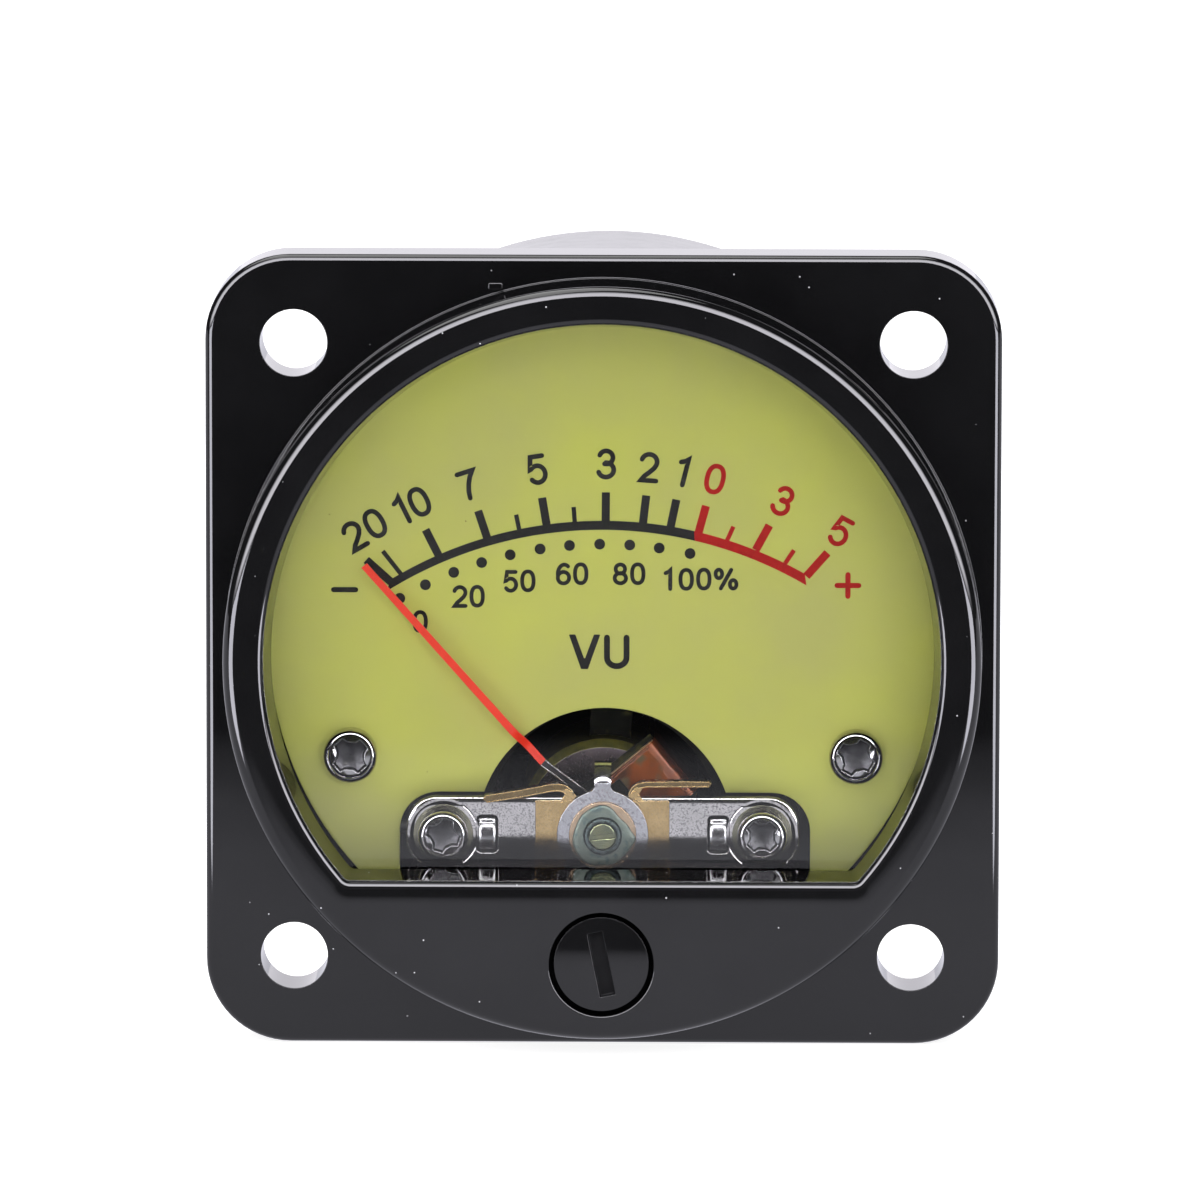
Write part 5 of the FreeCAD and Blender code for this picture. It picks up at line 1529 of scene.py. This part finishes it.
def joinMesh(piece, extra):
    # adds the extra object's mesh to the piece and removes the object
    with bpy.context.temp_override(active_object=piece, object=piece,
                                   selected_editable_objects=[piece, extra],
                                   selected_objects=[piece, extra]):
        bpy.ops.object.join()


def coilSkin():
    # varnish over the winding's front bar, lumpy and slightly swollen,
    # and a gilt foil edge on both sides
    c, v, f = coil, coil["varnish"], coil["foil"]
    turn = math.radians(c["angle"])

    def turned(x, y, z):
        return (pivotX + x * math.cos(turn) + z * math.sin(turn), y,
                pivotZ - x * math.sin(turn) + z * math.cos(turn))

    shell, rings = newShell(), []
    for row in range(v["rows"] + 1):
        along = -1 + 2 * row / v["rows"]
        points, normals = [], []
        for column in range(v["columns"] + 1):
            across = -1 + 2 * column / v["columns"]
            edge = max(abs(along) ** 10, abs(across) ** 8)
            x, z = v["half"] * across, v["reach"] * along
            # three crossing waves make the lumps, and their slopes the normals
            wave, fine, skew = 2.3 * z + 1.1 * x, 4.9 * z - 2.7 * x + 1, 3.1 * x + 0.7 * z
            lumps = 0.5 * math.sin(wave) + 0.3 * math.sin(fine) + 0.3 * math.sin(skew)
            y = v["front"] - v["swell"] * lumps * (1 - edge) + 0.22 * edge
            points.append(turned(x, y, z))
            nx = -v["swell"] * (0.55 * math.cos(wave) + 0.93 * math.cos(skew)) + 1.6 * across ** 9
            nz = -v["swell"] * (1.15 * math.cos(wave) + 1.47 * math.cos(fine)) + 1.6 * along ** 11
            normals.append((nx * math.cos(turn) + nz * math.sin(turn), -1,
                            -nx * math.sin(turn) + nz * math.cos(turn)))
        rings.append((points, normals))
    skin(shell, [rings], closed=False)
    makePiece("coilVarnish", shell, "coilVarnish", "moving_coil")
    foil = newShell()
    for side in (-1, 1):
        inner, outer = side * (f["half"] - f["width"]), side * (f["half"] + f["width"])
        reach = f["reach"]
        outline = [turned(x, 0, z) for x, z in ((inner, -reach), (outer, -reach), (outer, reach),
                                                (inner, reach))]
        plate(foil, roundedPolygon([(x, z) for x, _, z in outline], 0.03, 2), f["front"], f["back"],
              0.03)
    makePiece("coilFoil", foil, "goldFoil", "moving_coil")


coilWinding()
coilSkin()

springs = {"turns": 4.0, "inner": 0.62, "outer": 2.35, "strip": 0.07, "width": 0.3, "front": -2.35,
           "back": 11.95, "steps": 36}


def hairsprings():
    s = springs
    for name, y, node in (("frontHairspring", s["front"], "front_hairspring"),
                          ("rearHairspring", s["back"], "rear_hairspring")):
        place = Matrix.Translation((0, y * mm, pivotZ * mm)) @ Matrix.Rotation(math.pi / 2, 4, "X")
        values = {"Turns": s["turns"], "Inner": s["inner"] * mm, "Outer": s["outer"] * mm,
                  "Strip": s["strip"] * mm, "Width": s["width"] * mm, "Steps": s["steps"],
                  "Material": looks["copper"]}
        piece = runTree("spiral", name, [(0, 0, 0)], values, matrix=place)
        settle(piece, "moving_coil", [node])


hairsprings()

core = {"radius": 4.38, "rim": 4.80, "front": 0.8, "back": 9.8, "chamferEnd": 1.3}


def coreMagnet():
    c = core
    shell = newShell()
    rod(shell, c["radius"], c["front"] - 0.01, c["front"] + 0.3, pivotX, pivotZ, 0.05, 96)
    makePiece("coreFace", shell, "coreFace", "case")
    shell = newShell()
    lathe(shell, pivotX, pivotZ, [
        [(c["radius"], c["front"], 0.7, -0.7), (c["rim"], c["chamferEnd"], 0.7, -0.7)],
        wallRun(c["rim"], c["chamferEnd"], c["back"])], 96)
    makePiece("coreMagnet", shell, "coreEdge", "case", ["core_magnet"])


coreMagnet()
print("movement made")

# the terminals, their nuts and washers, and the screws in the back
rear = {"studFront": 7.9, "studHead": (2.6, 1.2), "studRoot": 1.28, "studEnd": 33.0,
        "threadStart": 24.6, "threadEnd": 32.6, "pitch": 0.5, "ridge": 0.165, "threadSteps": 28,
        "turns": (8, 41), "screwTurns": (20, 65), "washer": (3.2, 1.62, 25.8, 26.3),
        # each nut's seat and how its two copies are turned
        "innerNuts": (26.3, (10, 24)), "outerNuts": (29.2, (33, 2)), "nutHeight": 2.4,
        "acrossFlats": 5.5, "nutBore": 1.36, "nutChamfer": 0.28, "nutCone": 0.93,
        "lugFront": 28.7, "lugBack": 29.2, "lugRing": 3.0, "lugHalf": 1.1, "lugReach": 9.0,
        "lugHole": (7.6, 0.6), "lugBore": 1.62,
        # the case screws' head: radius, height and seat
        "caseHead": (1.9, 1.1, 25.8), "caseScrewTip": 0.8, "caseShank": 1.0}


def hexNut():
    # a hexagon whose corners are cut back by a cone at both ends
    height, flats, chamfer = rear["nutHeight"], rear["acrossFlats"], rear["nutChamfer"]
    shell, rings = newShell(), []
    for y, cone in ((0.0, True), (chamfer, False), (height - chamfer, False), (height, True)):
        points, normals = [], []
        for k in range(48):
            angle = math.radians(7.5 * k)
            reach = flats / 2 / math.cos((angle + math.pi / 6) % (math.pi / 3) - math.pi / 6)
            if cone:
                reach = min(reach, flats / math.sqrt(3) * rear["nutCone"])
            points.append((reach * math.sin(angle), y, reach * math.cos(angle)))
            facing = math.radians(round(math.degrees(angle) / 60) * 60)
            normals.append((math.sin(facing), 0, math.cos(facing)))
        rings.append((points, normals))
    first, last = skin(shell, [rings])
    frontBore, backBore = sweep(shell, circle(rear["nutBore"], count=32),
                                [wallRun(0, 0.0, height, -1)])
    fillCap(shell, [first, frontBore], -1)
    fillCap(shell, [last, backBore], 1)
    return shell


def terminals():
    r = rear
    turns = r["turns"]

    def at(y):
        return pairAt(fixings["studX"], y, fixings["studZ"])

    shaft = newShell()
    headRadius, headBack = r["studHead"]
    rod(shaft, headRadius, 0.0, headBack, edge=0.1)
    rod(shaft, r["studRoot"], headBack - 0.1, r["studEnd"] - r["studFront"], edge=0.3, count=32)
    copies("studShanks", shaft, "brass", "case", at(r["studFront"]), turns,
           replaces=["terminal_studs"])
    count = (r["threadEnd"] - r["threadStart"]) / r["pitch"]
    ridge = runTree("thread", "studThreads", at(r["threadEnd"]), {
        "Turns": count, "Radius": r["studRoot"] * mm, "Length": count * r["pitch"] * mm,
        "Ridge": r["ridge"] * mm, "Steps": r["threadSteps"], "Material": looks["brass"]})
    settle(ridge, "case")
    ring = newShell()
    outer, inner, front, back = r["washer"]
    tube(ring, outer, inner, 0, back - front, edge=0.05)
    copies("terminalWashers", ring, "zincPlate", "case", at(front), turns,
           replaces=["terminal_washers"])
    nut = hexNut()
    for name, node in (("innerNuts", "inner_nuts"), ("outerNuts", "outer_nuts")):
        seat, nutTurns = r[name]
        copies(name, nut, "brass", "case", at(seat), nutTurns, replaces=[node])
    lug = newShell()
    half, ringRadius = r["lugHalf"], r["lugRing"]
    meet = math.degrees(math.asin(half / ringRadius))
    points = arcPoints(0, r["lugReach"] - half, half, -90, 90, 12)
    points += arcPoints(0, 0, ringRadius, meet, 360 - meet, 40)
    hole, holeRadius = r["lugHole"]
    plate(lug, pathOutline(points), 0, r["lugBack"] - r["lugFront"], 0.06,
          [circle(r["lugBore"], count=32), circle(holeRadius, 0, hole, 24)])
    copies("solderLugs", lug, "tinned", "case", at(r["lugFront"]), (0, 0),
           replaces=["solder_lugs"])


def rearFixings():
    # these screws are seen from behind: the front screw's shape turned half round about Z
    radius, height, seat = rear["caseHead"]
    s = screws["rearBridge"]
    caseShape = screwShape(radius, height, seat + rear["caseScrewTip"], rear["caseShank"])
    bridgeShape = screwShape(s["radius"], s["height"], s["seat"] - s["tip"], screws["shank"])
    for name, node, spots, shape, turns in (
            ("caseScrews", "case_screws", pairAt(fixings["screwX"], seat, fixings["screwZ"]),
             caseShape, rear["screwTurns"]),
            ("rearBridgeScrews", "rear_bridge_screws", pairAt(s["x"], s["seat"], s["z"]),
             bridgeShape, s["turns"])):
        # the wells take the steel darkened as painted shade
        for part, suffix, look, nodes in ((shape[0], "", "zincPlate", [node]),
                                          (shape[1], "Wells", "paintedShadeSteel", [])):
            back = {"points": [(-x, -y, z) for x, y, z in part["points"]], "faces": part["faces"],
                    "normals": [(-x, -y, z) for x, y, z in part["normals"]]}
            copies(name + suffix, back, look, "case", spots, turns, replaces=nodes)


terminals()
rearFixings()
print("terminals made")

# finishes for the nodes that keep their own mesh; the first sit in the shade round the coil and
# are painted near black as painted shade, and the others go by their slot
nodeLook = {"core_spacers": "paintedShadeBrass", "yoke_ring": "paintedShadeIron", "pointer_hub": "paintedShadeBrass",
            "coil_bobbin": "paintedShadeBrass", "movement_frame": "paintedShadePlastic"}
slotLook = {"screw_steel": "screwSteel", "brass": "brass", "nickel_plate": "nickel",
            "jewel": "jewelStone", "aluminium": "aluminium", "board": "boardResin",
            "component_body": "bodyResin", "wire_cover": "wireCover"}


def dressNodes():
    for name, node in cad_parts.items():
        slotName = node.data.materials[0].name.split(".")[0] if node.data.materials else ""
        node.data.materials.clear()
        look = nodeLook.get(name, slotLook.get(slotName, "blackPlastic"))
        node.data.materials.append(looks[look])


dressNodes()


# floor, light and camera
floorLook = {
    "size": 3.0, "level": -22.55, "pale": (0.80, 0.80, 0.80, 1), "paler": (0.84, 0.84, 0.84, 1),
    "rough": 0.9, "mottle": 60.0, "glow": 0.85,
    # painted reflection: how bright the floor glows in a reflection, by its distance in front of
    # the object in metres
    "ahead": ((-0.145, 0.02), (-0.129, 0.03), (-0.118, 0.30), (-0.106, 0.42), (-0.097, 0.66),
              (-0.085, 0.74), (-0.074, 0.88), (-0.050, 0.94)),
    # painted lamps: bright strips on the floor beside it, seen only in reflections; strength, the
    # two bearings they stand between, and how near they come
    "tint": (0.96, 0.955, 1.06, 1), "lamps": 12.0, "lampFrom": 0.40, "lampTo": 1.50,
    "lampClear": 0.05, "lampAhead": -0.05,
}


def paintedFloorReflection(tree, parts):
    # painted reflection: the floor's glow in reflections, a sweep that darkens ahead plus strips of
    # painted lamps
    look = floorLook
    stops = look["ahead"]
    farthest, nearest = stops[0][0], stops[-1][0]
    ahead = span(tree, parts["Y"], 0, 1, farthest, nearest)
    sweep = put(tree, "ShaderNodeValToRGB", {"Fac": ahead})
    marks = sweep.color_ramp.elements
    for number, (value, bright) in enumerate(stops):
        position = (value - farthest) / (nearest - farthest)
        mark = marks[number] if number < 2 else marks.new(position)
        mark.position, mark.color = position, (bright, bright, bright, 1)
    bearing = calc(tree, "ABSOLUTE", calc(tree, "DIVIDE", parts["X"], parts["Y"]))
    away = calc(tree, "ABSOLUTE", parts["X"])
    paintedLamps = span(tree, bearing, 0, 1, look["lampFrom"], look["lampFrom"] + 0.03)
    for factor in (span(tree, bearing, 1, 0, look["lampTo"] - 0.05, look["lampTo"]),
                   span(tree, away, 0, 1, look["lampClear"], look["lampClear"] + 0.005),
                   span(tree, parts["Y"], 1, 0, look["lampAhead"] - 0.01, look["lampAhead"]),
                   look["lamps"]):
        paintedLamps = calc(tree, "MULTIPLY", paintedLamps, factor)
    return calc(tree, "ADD", sweep.outputs["Color"], paintedLamps)


def stageFloor():
    look = floorLook
    size, level = look["size"], look["level"] * mm
    mesh = bpy.data.meshes.new("floor")
    mesh.from_pydata([(-size, -size, level), (size, -size, level), (size, size, level),
                      (-size, size, level)], [], [(0, 1, 2, 3)])
    floor = newObject("floor", mesh)
    material, tree, surface, place = newMaterial("paleFloor")
    mottle = span(tree, noise(tree, place, look["mottle"], 3.0), 0, 1)
    # seen straight on it glows white, so that only the object's shadow shows
    rays = put(tree, "ShaderNodeLightPath").outputs
    seen = calc(tree, "MAXIMUM", rays["Is Camera Ray"], rays["Is Transmission Ray"])
    feed(tree, surface, {
        "Base Color": blendColour(tree, mottle, look["pale"], look["paler"]),
        "Roughness": look["rough"], "Specular IOR Level": 0.0, "Emission Color": (1, 1, 1, 1),
        "Emission Strength": calc(tree, "MULTIPLY", seen, look["glow"])})
    # in a reflection it glows as a painted reflection: a sweep that darkens ahead, and painted
    # lamps beside it
    parts = put(tree, "ShaderNodeSeparateXYZ", {"Vector": place}).outputs
    glow = put(tree, "ShaderNodeEmission", {"Color": look["tint"],
                                            "Strength": paintedFloorReflection(tree, parts)})
    both = put(tree, "ShaderNodeMixShader", {0: rays["Is Glossy Ray"], 1: surface.outputs[0],
                                             2: glow.outputs[0]})
    feed(tree, tree.nodes["Material Output"], {"Surface": both.outputs[0]})
    mesh.materials.append(material)


def softbox(name, spot, target, width, height, power, mirrored):
    light = bpy.data.lights.new(name, "AREA")
    light.shape, light.size, light.size_y, light.energy = "RECTANGLE", width, height, power
    lamp = newObject(name, light)
    lamp.visible_glossy = mirrored
    lamp.location = spot
    lamp.rotation_mode = "QUATERNION"
    lamp.rotation_quaternion = (Vector(target) - Vector(spot)).to_track_quat("-Z", "Y")


skyLook = {
    # strength from behind and in front for diffuse light, and for gloss: behind, elsewhere, and
    # in a frame in front between two values of Y
    "soft": 0.44, "softAhead": 0.42, "behind": 1.30, "behindFrom": 0.80, "dark": 0.02,
    "frame": 13.0, "frameIn": -0.90, "frameOut": -0.30, "frameFade": 0.30, "frameLow": 0.08,
    "tint": (0.985, 0.965, 1.035, 1),
    # the lamps: place, what they face, width and height, power, and whether gloss sees them
    "frontSoftbox": ((0.14, -0.55, 0.16), (0, 0, 0), 0.4, 0.3, 0.55, False),
    "topSoftbox": ((-0.1, 0.1, 0.5), (0, 0, 0), 0.4, 0.4, 1.8, True),
    "lowSoftbox": ((0.03, -0.262, -0.0222), (0.03, -0.262, 1), 1.2, 0.5, 2.7, False),
}


def studio():
    look = skyLook
    world = bpy.data.worlds.new("studio")
    bpy.context.scene.world = world
    world.use_nodes = True
    tree = world.node_tree
    rays = put(tree, "ShaderNodeLightPath").outputs
    direction = put(tree, "ShaderNodeTexCoord").outputs["Generated"]
    parts = put(tree, "ShaderNodeSeparateXYZ", {"Vector": direction}).outputs
    # what gloss sees: pale behind the object, a bright frame in front of it, dark elsewhere
    behind = span(tree, parts["Y"], 0, look["behind"], look["behindFrom"],
                  look["behindFrom"] + 0.12)
    glow = span(tree, parts["Y"], 0, look["frame"], look["frameIn"], look["frameIn"] + 0.02)
    frameStart = look["frameOut"] - look["frameFade"]
    for limit in (span(tree, parts["Y"], 1, 0, frameStart, look["frameOut"]),
                  span(tree, parts["Z"], 0, 1, 0.0, look["frameLow"])):
        glow = calc(tree, "MULTIPLY", glow, limit)
    gloss = calc(tree, "ADD", calc(tree, "ADD", behind, glow), look["dark"])
    soft = span(tree, parts["Y"], look["soft"] + look["softAhead"], look["soft"], -1.0, 0.2)
    strength = put(tree, "ShaderNodeMix", {0: rays["Is Glossy Ray"], 2: soft, 3: gloss}).outputs[0]
    strength = put(tree, "ShaderNodeMix", {0: rays["Is Camera Ray"], 2: strength,
                                           3: 1.0}).outputs[0]
    feed(tree, tree.nodes["Background"], {
        "Strength": strength,
        "Color": blendColour(tree, rays["Is Glossy Ray"], (1, 1, 1, 1), look["tint"])})
    for name in ("frontSoftbox", "topSoftbox", "lowSoftbox"):
        softbox(name, *look[name])


viewpoint = {"azimuth": 0.74, "elevation": 7.55, "roll": 0.11, "aim": (-0.17, -4.2, 2.92),
             "distance": 0.648, "sensor": 36.0, "focalPixels": 11455, "framePixels": 1200,
             "near": 0.05, "far": 20}


def camera():
    v = viewpoint
    azimuth, elevation, roll = (math.radians(v[turn]) for turn in ("azimuth", "elevation", "roll"))
    back = Vector((math.sin(azimuth) * math.cos(elevation),
                   -math.cos(azimuth) * math.cos(elevation), math.sin(elevation)))
    data = bpy.data.cameras.new("camera")
    data.sensor_width, data.lens = v["sensor"], v["sensor"] * v["focalPixels"] / v["framePixels"]
    data.clip_start, data.clip_end = v["near"], v["far"]
    made = newObject("camera", data)
    made.location = Vector(v["aim"]) * mm + back * v["distance"]
    made.rotation_mode = "QUATERNION"
    rolled = Matrix.Rotation(roll, 3, "Z").to_quaternion()
    made.rotation_quaternion = (-back).to_track_quat("-Z", "Y") @ rolled
    bpy.context.scene.camera = made


stageFloor()
studio()
camera()
bpy.context.scene.view_settings.view_transform = "Standard"
print("stage made")
